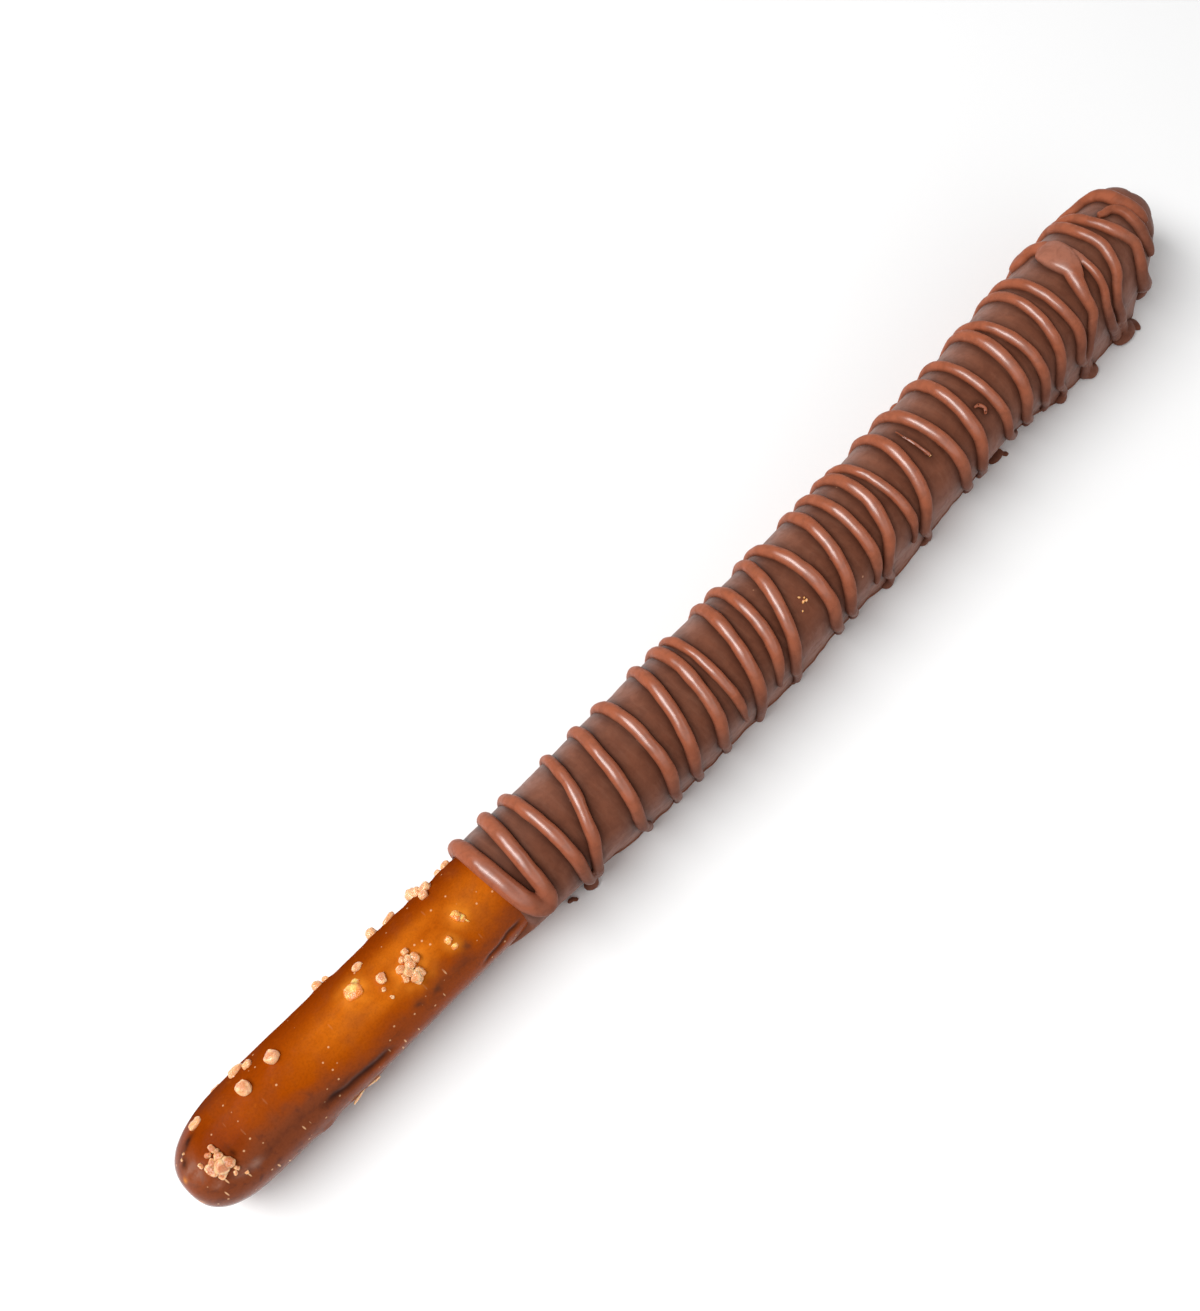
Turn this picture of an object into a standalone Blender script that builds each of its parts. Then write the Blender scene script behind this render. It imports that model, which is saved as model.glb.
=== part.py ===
"""A pretzel rod dipped in milk chocolate and striped with drizzle, lying on its flat chocolate foot.

Run it with blender --background --python part.py, or from Blender's text editor. Lengths are metres and
+Z is up. The rod lies along X, with its bare, salted end at -X and its dipped end at +X. Z = 0 is the
flat underside. A station is a distance along the rod, from a point just inside its bare end. A turn is
an angle round the rod in degrees, 0 on the crest, positive towards the rod's right side (-Y).
"""

import math

import bmesh
import bpy
from mathutils import Euler, Matrix, Vector

MM = 0.001
WELD = 0.006 * MM            # vertices nearer than this after a Boolean are one

# The baked rod
BARE_END = 0.2 * MM          # stations of the rod's two ends, and of the chocolate tip
ROD_END = 189.8 * MM
TIP_END = 192.2 * MM
ROD_RADIUS = 6.35 * MM
NOSE_LENGTH = 12.0 * MM      # the stretch over which each end of the rod rounds off
NOSE_POWER = 2.9             # 2 is an ellipse, more is blunter
NOSE_TIP = 0.2 * MM          # how near its very end the nose is cut flat
BOW = 2.0 * MM               # how far the middle of the rod bends to its right
AXIS_HEIGHT = 7.65 * MM
END_DROOP = 0.9 * MM         # how far the bare end dips towards the table
SIDE_SHIFT = 1.1 * MM        # moves the rod to its left, so that the origin is at mid width
ROD_SIDES = 20

# The chocolate coat
DIP_STATION = 49.6 * MM      # where the dip line crosses the crest
BORE_GAP = 0.3 * MM          # clearance between the rod and its coat
BORE_LEAD = 15.0 * MM        # how far the rod's clearance is cut ahead of the dip line
ROUND_TURN = 118.0           # the coat is round down to here on both sides, then flares out to its foot
ROUND_STEPS = 14
FLARE_TURNS = (127.0, 136.0, 145.0)
RIM_TURNS = (151.0, 158.0)
FLARE_PULL = 3.0 * MM        # how far the flare first follows the round side
FOOT_HEIGHT = 1.1 * MM
RIM_BULGE = 0.15 * MM
SKIRT_TURNS = (80.0, 108.0)  # the runny skirt starts and is full at these turns
SKIRT_RIGHT = 6.5 * MM       # how far the skirt runs ahead of the dip line on each side
SKIRT_LEFT = 3.0 * MM
SKIRT_FADE = 12.0 * MM
SKIRT_THINNING = 0.35 * MM   # how much thinner the skirt is than the rest of the coat
NUB_STATIONS = (182.5 * MM, 187.5 * MM)  # here the foot ends and the tip hangs clear of the table
RING_STEP = 6.0 * MM

# Profiles: (station, size) in millimetres. The tip of the rod drifts to its left.
ROD_DRIFT = ((0, 0.0), (170, 0.0), (180, 0.4), (184, 1.0), (187, 1.7), (189.5, 2.3), (192.2, 2.6))
COAT_RADIUS = ((49.6, 6.0), (50.0, 6.9), (50.9, 7.25), (54, 7.3), (64, 7.3), (80, 7.5), (148, 7.5),
               (160, 8.0), (174, 8.2), (180, 7.8), (184, 7.1), (187, 6.2), (189.5, 5.2), (191.3, 3.6),
               (192.2, 1.6))
FOOT_RIGHT = ((49.6, 5.0), (58, 6.0), (64, 6.2), (68, 6.9), (80, 7.0), (104, 7.4), (110, 6.9), (118, 7.3),
              (123, 7.9), (132, 7.2), (142, 6.8), (149, 6.2), (157, 7.2), (161, 8.3), (172, 8.8),
              (179, 8.4), (184, 7.5), (192.2, 3.0))
FOOT_LEFT = ((49.6, 5.4), (55, 6.6), (70, 7.2), (90, 7.7), (118, 7.2), (150, 7.6), (168, 8.4),
             (180, 8.0), (186, 6.4), (192.2, 3.0))

# The drizzle. Each strand in millimetres: the stations where it passes the left side, the crest and the
# right side, then how far its right end stands out at the table, or 0 where it thins out on the side.
DRIZZLE = (
    (58.7, 59.1, 59.0, 7.5), (66.3, 64.4, 61.2, 7.0),
    (71.5, 70.1, 68.7, 7.2), (75.9, 76.0, 75.1, 7.4), (83.0, 81.2, 79.0, 7.7), (86.6, 85.9, 84.5, 7.5),
    (88.8, 88.7, 88.7, 0.0), (95.4, 93.6, 91.8, 7.5), (98.5, 97.9, 95.6, 0.0), (104.3, 101.9, 98.7, 7.9),
    (106.8, 107.5, 107.4, 7.2), (113.9, 112.6, 110.4, 6.9), (117.4, 117.1, 116.5, 0.0),
    (121.2, 121.4, 118.5, 8.3), (123.7, 124.3, 124.8, 0.0), (130.1, 129.4, 127.0, 8.1),
    (134.9, 135.5, 136.3, 7.2), (141.9, 141.1, 140.4, 7.0), (146.0, 145.9, 146.6, 6.4),
    (152.7, 151.7, 150.9, 6.6), (154.2, 155.0, 155.3, 7.3), (160.9, 160.3, 158.6, 8.9),
    (163.9, 163.7, 164.0, 9.2), (170.9, 168.8, 166.8, 8.8), (176.7, 176.0, 173.4, 9.0),
    (178.6, 179.5, 180.2, 8.0),
)
STRAND_RADIUS = 1.0 * MM
STRAND_LIFT = 0.2 * MM       # height of a strand's middle over the coat
STRAND_FALL = 112.0          # below this turn a strand drops to the foot
STRAND_STEPS = 10
STRAND_SMOOTHING = 1         # gives 6 sides
THIN_END_TURN = 94.0         # where the strands that thin out stop
THIN_END = 0.45              # their end radius, as a share of the full one
TOE_SHARE = 0.75             # end radius of a strand that reaches the table
LEFT_REACH = 7.6 * MM        # how far the left ends stand out at the table

# Strands that wander: (station in millimetres, turn) of their points. The first turns back on itself at
# the dip line, the second runs down beside the smear, and the last two cross the shoulder of the tip.
WANDERERS = (
    ((50.6, -112.0), (50.5, -80.0), (50.4, -45.0), (50.5, -10.0), (50.7, 20.0), (51.0, 45.0), (51.6, 64.0),
     (52.7, 73.0), (53.7, 63.0), (53.9, 40.0), (54.1, 15.0), (54.4, -15.0), (54.9, -45.0), (55.3, -80.0),
     (55.4, -112.0)),
    ((171.6, 0.0), (171.9, 30.0), (171.6, 55.0), (172.2, 80.0), (174.0, 104.0)),
    ((180.3, -100.0), (180.8, -75.0), (182.4, -50.0), (185.2, -32.0), (187.6, -12.0)),
    ((180.6, -26.0), (182.6, -18.0), (184.6, -2.0), (184.9, 22.0), (183.6, 45.0), (181.8, 68.0)),
)

# Lumps of set chocolate: station, turn, height over the coat, then half sizes along, across and outward
LUMPS = {
    "thumb_smear": (170.1, -20.0, 0.1, 2.3, 3.0, 1.3),
    "left_lump": (171.0, -78.0, 0.0, 2.2, 2.0, 1.2),
    "tip_curl": (188.6, -38.0, 0.0, 1.4, 1.6, 0.9),
}

# Toes and flakes at the table: station, side distance from the centre line, height, three half sizes
TOES = {
    "toe_near": (59.9, 7.4, 1.2, 1.3, 1.2, 1.2),
    "toe_middle": (119.3, 7.8, 1.25, 1.5, 1.3, 1.15),
    "toe_far": (161.5, 8.6, 1.1, 1.5, 1.4, 1.1),
    "toe_forked": (168.4, 9.0, 1.2, 2.0, 1.4, 1.2),
    "toe_wide": (177.7, 9.2, 1.5, 3.0, 2.0, 1.45),
    "toe_hanging": (183.4, 7.2, 4.0, 1.9, 1.3, 1.7),
    "flake": (147.6, 6.9, 0.5, 1.6, 0.9, 0.45),
    "left_toe_near": (84.0, -8.1, 1.1, 1.4, 1.2, 1.1),
    "left_toe_far": (143.0, -8.3, 1.1, 1.4, 1.2, 1.1),
}

# Salt grains on the bare stretch: station and turn, then size along and across, and height, in
# millimetres. The larger ones are clusters.
SALT = (
    (5.6, 17.0, 3.0, 3.4, 1.5), (5.4, 0.0, 1.4, 1.5, 1.1), (12.7, -23.0, 1.8, 1.9, 1.4),
    (17.3, -26.0, 1.8, 1.8, 1.4), (13.2, -54.0, 2.0, 1.0, 1.1), (14.6, -46.0, 1.3, 0.9, 1.0),
    (6.0, -42.0, 1.8, 1.2, 1.0), (29.1, -16.0, 2.0, 2.1, 1.1), (31.3, -35.0, 1.3, 0.9, 0.9),
    (32.4, -4.0, 1.1, 1.2, 1.0), (35.3, 13.0, 2.8, 3.0, 1.7), (36.2, -4.0, 1.7, 1.8, 1.4),
    (26.7, -76.0, 1.7, 1.2, 1.4), (35.5, -76.0, 1.3, 1.3, 1.6), (38.3, -74.0, 2.0, 1.1, 1.1),
    (42.3, -72.0, 1.6, 1.5, 1.6), (43.2, -53.0, 2.1, 1.7, 1.4), (43.9, 3.0, 1.5, 1.8, 0.8),
    (41.1, 16.0, 1.1, 1.2, 0.7), (47.6, -74.0, 1.4, 1.0, 0.9), (22.0, 98.0, 1.8, 1.5, 1.2),
    (9.5, -105.0, 1.7, 1.5, 1.2), (33.0, -118.0, 1.6, 1.4, 1.2),
)
SALT_SINK = 0.3              # share of a grain's height that is baked into the crust
SALT_LEAN = (0.5, 0.3)       # radians: no grain lies square to the rod
SALT_SPIN = 2.1              # radians from one grain to the next


def smoothstep(start, end, value):
    """0 before start, 1 after end, and an eased blend between them."""
    share = min(max((value - start) / (end - start), 0.0), 1.0)
    return share * share * (3.0 - 2.0 * share)


def along_profile(profile, station):
    """Size of a profile at a station: a smooth curve through its points, which are in millimetres."""
    place = station / MM
    if place <= profile[0][0]:
        return profile[0][1] * MM
    if place >= profile[-1][0]:
        return profile[-1][1] * MM
    index = max(i for i, point in enumerate(profile[:-1]) if point[0] <= place)

    def slope(i):
        before, after = profile[max(i - 1, 0)], profile[min(i + 1, len(profile) - 1)]
        return (after[1] - before[1]) / (after[0] - before[0])

    (x0, y0), (x1, y1) = profile[index], profile[index + 1]
    span = x1 - x0
    t = (place - x0) / span
    value = ((2 * t**3 - 3 * t**2 + 1) * y0 + (t**3 - 2 * t**2 + t) * span * slope(index)
             + (3 * t**2 - 2 * t**3) * y1 + (t**3 - t**2) * span * slope(index + 1))
    return value * MM


def centre(station):
    """Middle of the rod at a station: it bows sideways, and its bare end dips a little."""
    share = min(max(station / ROD_END, 0.0), 1.0)
    side = SIDE_SHIFT - BOW * math.sin(math.pi * share) ** 1.5 + along_profile(ROD_DRIFT, station)
    droop = END_DROOP * max(0.0, 1.0 - station / DIP_STATION) ** 1.5
    return Vector((station - (BARE_END + TIP_END) / 2, side, AXIS_HEIGHT - droop))


def rod_radius(station):
    """The rod is round and even, with a blunt nose at each end."""
    from_end = max(min(station - BARE_END, ROD_END - station), NOSE_TIP)
    if from_end >= NOSE_LENGTH:
        return ROD_RADIUS
    share = 1.0 - from_end / NOSE_LENGTH
    return ROD_RADIUS * (1.0 - share**NOSE_POWER) ** (1.0 / NOSE_POWER)


def outward(turn):
    """Unit vector from the rod's middle towards a turn."""
    angle = math.radians(turn)
    return Vector((0.0, -math.sin(angle), math.cos(angle)))


def coat_point(station, turn, lift):
    """A point over the round part of the coat."""
    return centre(station) + (along_profile(COAT_RADIUS, station) + lift) * outward(turn)


def link(name, mesh, collection):
    """A new object holding the mesh, in the collection."""
    item = bpy.data.objects.new(name, mesh)
    collection.objects.link(item)
    return item


def collect(name, hidden=False):
    """A new collection in the scene, hidden from renders if it only holds cutters."""
    collection = bpy.data.collections.new(name)
    collection.hide_render = hidden
    bpy.context.scene.collection.children.link(collection)
    return collection


def tube(name, points, radii, smoothing, collection):
    """A closed round tube through the points, made from a bevelled curve."""
    curve = bpy.data.curves.new(name, "CURVE")
    curve.dimensions = "3D"
    curve.bevel_depth = 1.0
    curve.bevel_resolution = smoothing
    curve.use_fill_caps = True
    spline = curve.splines.new("POLY")
    spline.points.add(len(points) - 1)
    for point, place, radius in zip(spline.points, points, radii):
        point.co = (*place, 1.0)
        point.radius = radius
    guide = link(name, curve, collection)
    evaluated = guide.evaluated_get(bpy.context.evaluated_depsgraph_get())
    mesh = bpy.data.meshes.new_from_object(evaluated)
    bm = bmesh.new()
    bm.from_mesh(mesh)
    bmesh.ops.remove_doubles(bm, verts=bm.verts, dist=MM / 1000)
    bm.to_mesh(mesh)
    bm.free()
    matrix = guide.matrix_world.copy()
    bpy.data.objects.remove(guide)
    solid = link(name, mesh, collection)
    solid.matrix_world = matrix
    return solid


def ball(name, middle, half_sizes, turn, collection, divisions=(10, 6)):
    """An egg of the given half sizes along, across and outward, turned about X with the rod's side."""
    mesh = bpy.data.meshes.new(name)
    bm = bmesh.new()
    bmesh.ops.create_uvsphere(bm, u_segments=divisions[0], v_segments=divisions[1], radius=1.0)
    lean = Euler((math.radians(turn), 0.0, 0.0)).to_matrix().to_4x4()
    shape = Matrix.Translation(middle) @ lean @ Matrix.Diagonal((*half_sizes, 1.0))
    bmesh.ops.transform(bm, matrix=shape, verts=bm.verts)
    bm.to_mesh(mesh)
    bm.free()
    return link(name, mesh, collection)


def join(body, extras, operation="UNION"):
    """Applies one Boolean of the body with a whole collection, then removes that collection."""
    modifier = body.modifiers.new("Join", "BOOLEAN")
    modifier.operation = operation
    modifier.operand_type = "COLLECTION"
    modifier.collection = extras
    modifier.solver = "EXACT"
    evaluated = body.evaluated_get(bpy.context.evaluated_depsgraph_get())
    mesh = bpy.data.meshes.new_from_object(evaluated)
    body.modifiers.clear()
    body.data = mesh
    for item in list(extras.objects):
        bpy.data.objects.remove(item)
    bpy.data.collections.remove(extras)


def keep_largest(body):
    """Drops loose scraps that a Boolean left, and welds vertices that it set on top of each other."""
    bm = bmesh.new()
    bm.from_mesh(body.data)
    bmesh.ops.triangulate(bm, faces=bm.faces)
    bmesh.ops.remove_doubles(bm, verts=bm.verts, dist=WELD)
    bmesh.ops.dissolve_degenerate(bm, edges=bm.edges, dist=WELD)
    islands = []
    unseen = set(bm.verts)
    while unseen:
        island, front = set(), [unseen.pop()]
        while front:
            vertex = front.pop()
            island.add(vertex)
            near = {edge.other_vert(vertex) for edge in vertex.link_edges} & unseen
            unseen -= near
            front.extend(near)
        islands.append(island)
    islands.sort(key=len, reverse=True)
    scraps = [vertex for island in islands[1:] for vertex in island]
    bmesh.ops.delete(bm, geom=scraps, context="VERTS")
    bm.to_mesh(body.data)
    bm.free()


def finish(body, material):
    """Shades the body smooth, keeps its sharp edges, and gives it its one material."""
    body.data.materials.clear()
    body.data.materials.append(material)
    body.data.shade_smooth()
    body.data.set_sharp_from_angle(angle=math.radians(50.0))


def surface(name, colour, roughness):
    """A Principled material."""
    material = bpy.data.materials.new(name)
    material.use_nodes = True
    shader = material.node_tree.nodes["Principled BSDF"]
    shader.inputs["Base Color"].default_value = (*colour, 1.0)
    shader.inputs["Roughness"].default_value = roughness
    shader.inputs["Metallic"].default_value = 0.0
    return material


def nose_stations(count):
    """Stations of one nose, crowded towards its very end."""
    steps = [math.pi / 2 * i / count for i in range(count + 1)]
    return [NOSE_LENGTH * (1.0 - math.cos(step)) for step in steps]


def rod_tube(name, start, grow, collection):
    """The rod from a station on, or a clearance round it where it has grown."""
    nose = nose_stations(5)
    body_start, body_end = BARE_END + NOSE_LENGTH, ROD_END - NOSE_LENGTH
    count = 14
    middle = [body_start + (body_end - body_start) * i / count for i in range(1, count)]
    stations = [BARE_END + x for x in nose] + middle + [ROD_END - x for x in reversed(nose)]
    stations = [start] + [x for x in stations if x > start + MM]
    points, radii = [], []
    for station in stations:
        stretch = grow * max(0.0, station - body_end) / NOSE_LENGTH
        points.append(centre(station) + Vector((stretch, 0.0, 0.0)))
        radii.append(rod_radius(station) + grow)
    return tube(name, points, radii, ROD_SIDES // 2 - 2, collection)


def salt_grain(number, station, turn, sizes, collection):
    """One coarse crystal: a rough icosahedron sunk a little into the crust."""
    along, across, height = (size * MM for size in sizes)
    rise = rod_radius(station) + height * (0.5 - SALT_SINK)
    mesh = bpy.data.meshes.new(f"salt_{number}")
    bm = bmesh.new()
    bmesh.ops.create_icosphere(bm, subdivisions=1, radius=1.0)
    spin = Euler((*SALT_LEAN, number * SALT_SPIN)).to_matrix().to_4x4()
    lean = Euler((math.radians(turn), 0.0, 0.0)).to_matrix().to_4x4()
    size = Matrix.Diagonal((along / 2, across / 2, height / 2, 1.0))
    place = Matrix.Translation(centre(station) + rise * outward(turn))
    bmesh.ops.transform(bm, matrix=place @ lean @ size @ spin, verts=bm.verts)
    bm.to_mesh(mesh)
    bm.free()
    return link(f"salt_{number}", mesh, collection)


def build_rod(collection):
    """The baked rod, whole from end to end, with its salt."""
    rod = rod_tube("pretzel_rod", BARE_END, 0.0, collection)
    grains = collect("salt")
    for number, (station, turn, *sizes) in enumerate(SALT):
        salt_grain(number, station * MM, turn, sizes, grains)
    join(rod, grains)
    keep_largest(rod)
    finish(rod, surface("baked_crust", (0.42, 0.13, 0.02), 0.3))
    return rod


def flare_point(station, turn):
    """Side distance and height of the coat where it flares out from its round side to its foot."""
    radius = along_profile(COAT_RADIUS, station)
    foot = along_profile(FOOT_RIGHT if turn > 0 else FOOT_LEFT, station)
    if abs(turn) > RIM_TURNS[0]:
        return foot - RIM_BULGE, 0.0
    if abs(turn) > FLARE_TURNS[-1]:
        return foot + RIM_BULGE, FOOT_HEIGHT * 0.45
    angle = math.radians(ROUND_TURN)
    side, height = radius * math.sin(angle), AXIS_HEIGHT + radius * math.cos(angle)
    pull_side = side + FLARE_PULL * math.cos(angle)
    pull_height = max(height - FLARE_PULL * math.sin(angle), FOOT_HEIGHT)
    share = (abs(turn) - ROUND_TURN) / (FLARE_TURNS[-1] - ROUND_TURN)
    weights = ((1 - share) ** 2, 2 * share * (1 - share), share**2)
    return (weights[0] * side + weights[1] * pull_side + weights[2] * foot,
            weights[0] * height + weights[1] * pull_height + weights[2] * FOOT_HEIGHT)


def coat_ring(station):
    """One ring of the coat: round over the top, flared at both sides, flat below."""
    radius = along_profile(COAT_RADIUS, station)
    clear_of_table = smoothstep(*NUB_STATIONS, station)
    fade = 1.0 - smoothstep(DIP_STATION, DIP_STATION + SKIRT_FADE, station)
    count = ROUND_STEPS
    turns = [ROUND_TURN * (2 * i / count - 1) for i in range(count + 1)]
    turns += [*FLARE_TURNS, *RIM_TURNS, 180.0]
    turns += [-turn for turn in reversed((*FLARE_TURNS, *RIM_TURNS))]
    ring = []
    for turn in turns:
        ahead = SKIRT_RIGHT if turn > 0 else SKIRT_LEFT
        runny = fade * smoothstep(*SKIRT_TURNS, abs(turn))
        middle = centre(station - runny * ahead)
        point = middle + (radius - runny * SKIRT_THINNING) * outward(turn)
        if abs(turn) > ROUND_TURN:
            side, height = flare_point(station, turn) if abs(turn) < 180.0 else (0.0, 0.0)
            footed = Vector((middle.x, middle.y - math.copysign(side, turn), height))
            point = footed.lerp(point, clear_of_table)
        ring.append(point)
    return ring


def coat_stations():
    """Stations of the coat's rings: close together at the dip line and at the tip."""
    lip = [station * MM for station, _ in COAT_RADIUS[:4]]
    tip = [x * MM for x in (182.5, 184.5, 186.3, 187.8, 189.2, 190.4, 191.3, 191.9, 192.2)]
    start, end = lip[-1], tip[0]
    count = round((end - start) / RING_STEP)
    return lip + [start + (end - start) * i / count for i in range(1, count)] + tip


def loft(name, rings, collection):
    """A closed skin over rings of points, with a fan at each end."""
    bm = bmesh.new()
    rows = [[bm.verts.new(point) for point in ring] for ring in rings]
    for row, following in zip(rows, rows[1:]):
        for i in range(len(row)):
            j = (i + 1) % len(row)
            bm.faces.new((row[i], row[j], following[j], following[i]))
    caps = [bm.faces.new(rows[0]), bm.faces.new(rows[-1])]
    bmesh.ops.poke(bm, faces=caps)
    bmesh.ops.recalc_face_normals(bm, faces=bm.faces)
    mesh = bpy.data.meshes.new(name)
    bm.to_mesh(mesh)
    bm.free()
    return link(name, mesh, collection)


def strand_station(left, crest, right, turn):
    """Station of a strand at a turn, from where it passes the left side, the crest and the right side."""
    across = math.sin(math.radians(turn))
    return crest + (right - left) / 2 * across + ((right + left) / 2 - crest) * across**2


def foot_point(station, reach, height):
    """A point over the table, beside the centre line: a positive reach is to the right."""
    middle = centre(station)
    return Vector((middle.x, middle.y - reach, height))


def strand(number, places, reach, collection):
    """One strand of drizzle, from the table on the left over the crest to its right end."""
    left, crest, right = (place * MM for place in places)
    last_turn = STRAND_FALL if reach else THIN_END_TURN
    points, radii = [], []
    for i in range(STRAND_STEPS + 1):
        turn = -STRAND_FALL + (STRAND_FALL + last_turn) * i / STRAND_STEPS
        station = strand_station(left, crest, right, turn)
        points.append(coat_point(station, turn, STRAND_LIFT))
        radii.append(STRAND_RADIUS)
    points.insert(0, foot_point(left, -LEFT_REACH, STRAND_RADIUS))
    radii.insert(0, STRAND_RADIUS * TOE_SHARE)
    if reach:
        points.append(foot_point(right, reach * MM, STRAND_RADIUS))
        radii.append(STRAND_RADIUS * TOE_SHARE)
    else:
        radii[-1] *= THIN_END
    return tube(f"strand_{number}", points, radii, STRAND_SMOOTHING, collection)


def wanderer(number, route, collection):
    """A strand that wanders over the coat through its own points."""
    points = [coat_point(station * MM, turn, STRAND_LIFT) for station, turn in route]
    radii = [STRAND_RADIUS * TOE_SHARE] + [STRAND_RADIUS] * (len(points) - 2) + [STRAND_RADIUS * TOE_SHARE]
    return tube(f"wanderer_{number}", points, radii, STRAND_SMOOTHING, collection)


def build_coat(collection):
    """The coat with its foot and drizzle, one body, open at the dip line for the rod to run through."""
    coat = loft("chocolate_coat", [coat_ring(station) for station in coat_stations()], collection)
    drizzle = collect("drizzle")
    for number, (*places, reach) in enumerate(DRIZZLE):
        strand(number, places, reach, drizzle)
    for number, route in enumerate(WANDERERS):
        wanderer(number, route, drizzle)
    for name, (station, turn, lift, *sizes) in LUMPS.items():
        middle = coat_point(station * MM, turn, lift * MM)
        ball(name, middle, [size * MM for size in sizes], turn, drizzle)
    for name, (station, reach, height, *sizes) in TOES.items():
        middle = foot_point(station * MM, reach * MM, height * MM)
        ball(name, middle, [size * MM for size in sizes], 0.0, drizzle)
    join(coat, drizzle)
    cutters = collect("cutters", hidden=True)
    bore = rod_tube("bore", DIP_STATION - BORE_LEAD, BORE_GAP, cutters)
    bore.hide_render = True
    bore.display_type = "WIRE"
    join(coat, cutters, "DIFFERENCE")
    keep_largest(coat)
    finish(coat, surface("milk_chocolate", (0.15, 0.055, 0.032), 0.42))
    return coat


def main():
    for item in list(bpy.data.objects):
        bpy.data.objects.remove(item)
    snack = collect("chocolate_covered_pretzel")
    build_rod(snack)
    build_coat(snack)


main()
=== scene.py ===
"""The looks of a chocolate covered pretzel rod: its crust, salt, coat and drizzle, on a pale floor.

Run it with blender --background --python scene.py. Lengths are metres and +Z is up. The rod lies along
X, with its bare, salted end at -X. A station is a distance along the rod, from a point just inside its
bare end. A turn is an angle round the rod in degrees, 0 on the crest, positive towards its right side
(-Y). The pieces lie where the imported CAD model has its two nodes.
"""

import math

import bmesh
import bpy
import numpy as np
from mathutils import Euler, Matrix, Vector, noise


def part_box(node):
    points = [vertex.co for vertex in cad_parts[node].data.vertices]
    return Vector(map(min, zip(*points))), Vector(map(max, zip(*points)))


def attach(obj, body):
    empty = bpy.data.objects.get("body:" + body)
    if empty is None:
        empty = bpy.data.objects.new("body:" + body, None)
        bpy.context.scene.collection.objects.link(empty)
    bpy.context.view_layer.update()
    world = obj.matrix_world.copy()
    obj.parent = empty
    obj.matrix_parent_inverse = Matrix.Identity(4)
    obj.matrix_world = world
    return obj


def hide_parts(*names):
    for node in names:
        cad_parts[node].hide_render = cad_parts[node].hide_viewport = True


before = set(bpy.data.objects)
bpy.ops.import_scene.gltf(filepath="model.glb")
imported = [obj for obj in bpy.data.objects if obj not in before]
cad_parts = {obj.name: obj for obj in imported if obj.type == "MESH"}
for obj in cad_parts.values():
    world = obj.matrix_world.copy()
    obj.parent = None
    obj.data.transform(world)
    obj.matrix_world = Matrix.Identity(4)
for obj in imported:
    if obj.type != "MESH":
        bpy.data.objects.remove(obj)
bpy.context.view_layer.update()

bl_info = {
    "name": "Chocolate Covered Pretzel Rod",
    "version": (1, 0, 0),
    "blender": (4, 5, 0),
    "location": "View3D > Sidebar > Pretzel",
    "description": "Builds a salted pretzel rod in a milk chocolate coat with drizzle",
    "category": "Object",
}

MM = 0.001

# The baked rod, within a hair of the CAD model
BARE_END = -0.1 * MM
ROD_END = 189.8 * MM
TIP_END = 192.2 * MM
MARK_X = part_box("chocolate_coat")[1].x - TIP_END  # X of station 0
ROD_RADIUS = 6.35 * MM
NOSE_LENGTH = 12.0 * MM
NOSE_POWER = 2.75  # how blunt a nose is: 2 is an ellipse
NOSE_SHIFT = 0.28 * MM  # how far the bare nose leans to the right
NOSE_SHIFT_END = 10.0 * MM
NOSE_TIP = 0.004 * MM
BOW = 2.0 * MM  # how far the rod's middle lies to the right of its ends
SIDE_SHIFT = 1.1 * MM  # how far the ends lie to the left of the X axis
AXIS_HEIGHT = 7.65 * MM
END_DROOP = 0.9 * MM
RELIEF_END = (50.0 * MM, 52.0 * MM)  # where the crust's relief fades out, inside the coat

# The chocolate coat, as in the CAD model
DIP_STATION = 49.6 * MM
LUMPY_TIP = (178.0 * MM, 186.0 * MM)
ROUND_TURN = 90.0  # turn where the round top ends and the wall starts
WALL_END = 145.0  # turn where the wall ends and the thin rim at the table starts
WALL_PULL = 2.6 * MM  # how far the wall drops before it bends towards the foot
FOOT_HEIGHT = 0.6 * MM
FOOT_WANDER = 0.25 * MM
RIM_BULGE = 0.15 * MM
RIM_CURL = 0.95 * math.pi  # angle round the rim past which it lies on the table
# The skirt: the coat's edge runs ahead of the dip line low on both sides, and thins out
SKIRT_TURNS = (80.0, 108.0)
SKIRT_RIGHT = 4.5 * MM
SKIRT_LEFT = 3.0 * MM
SKIRT_FADE = 12.0 * MM
SKIRT_THINNING = 0.7 * MM
NUB_STATIONS = (182.5 * MM, 187.5 * MM)  # where the coat's foot ends and its tip turns round, off the table

# Profiles: (station, size) in millimetres. The drift is to the left.
ROD_DRIFT = ((0, 0.0), (170, 0.0), (180, 0.4), (184, 0.9), (187, 1.4), (189.5, 1.7), (192.2, 1.8))
COAT_RADIUS = ((49.6, 6.0), (50.0, 6.9), (50.9, 7.25), (54, 7.3), (64, 7.3), (80, 7.5), (148, 7.5),
               (160, 8.0), (174, 8.2), (180, 7.8), (184, 7.0), (187, 6.0), (189.5, 4.7), (191.3, 3.0),
               (192.2, 1.4))
FOOT_RIGHT = ((49.6, 4.0), (54, 4.8), (58, 5.9), (64, 6.2), (68, 6.9), (80, 7.0), (104, 7.4), (110, 6.9),
              (118, 7.3), (123, 7.9), (132, 7.2), (142, 6.8), (149, 6.2), (157, 7.2), (161, 8.3),
              (172, 8.8), (178, 9.0), (181.5, 8.7), (184.5, 7.4), (192.2, 3.0))
FOOT_LEFT = ((49.6, 5.4), (55, 6.6), (70, 7.2), (90, 7.7), (118, 7.2), (150, 7.6), (168, 8.4),
             (180, 8.0), (186, 6.4), (192.2, 3.0))

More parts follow.
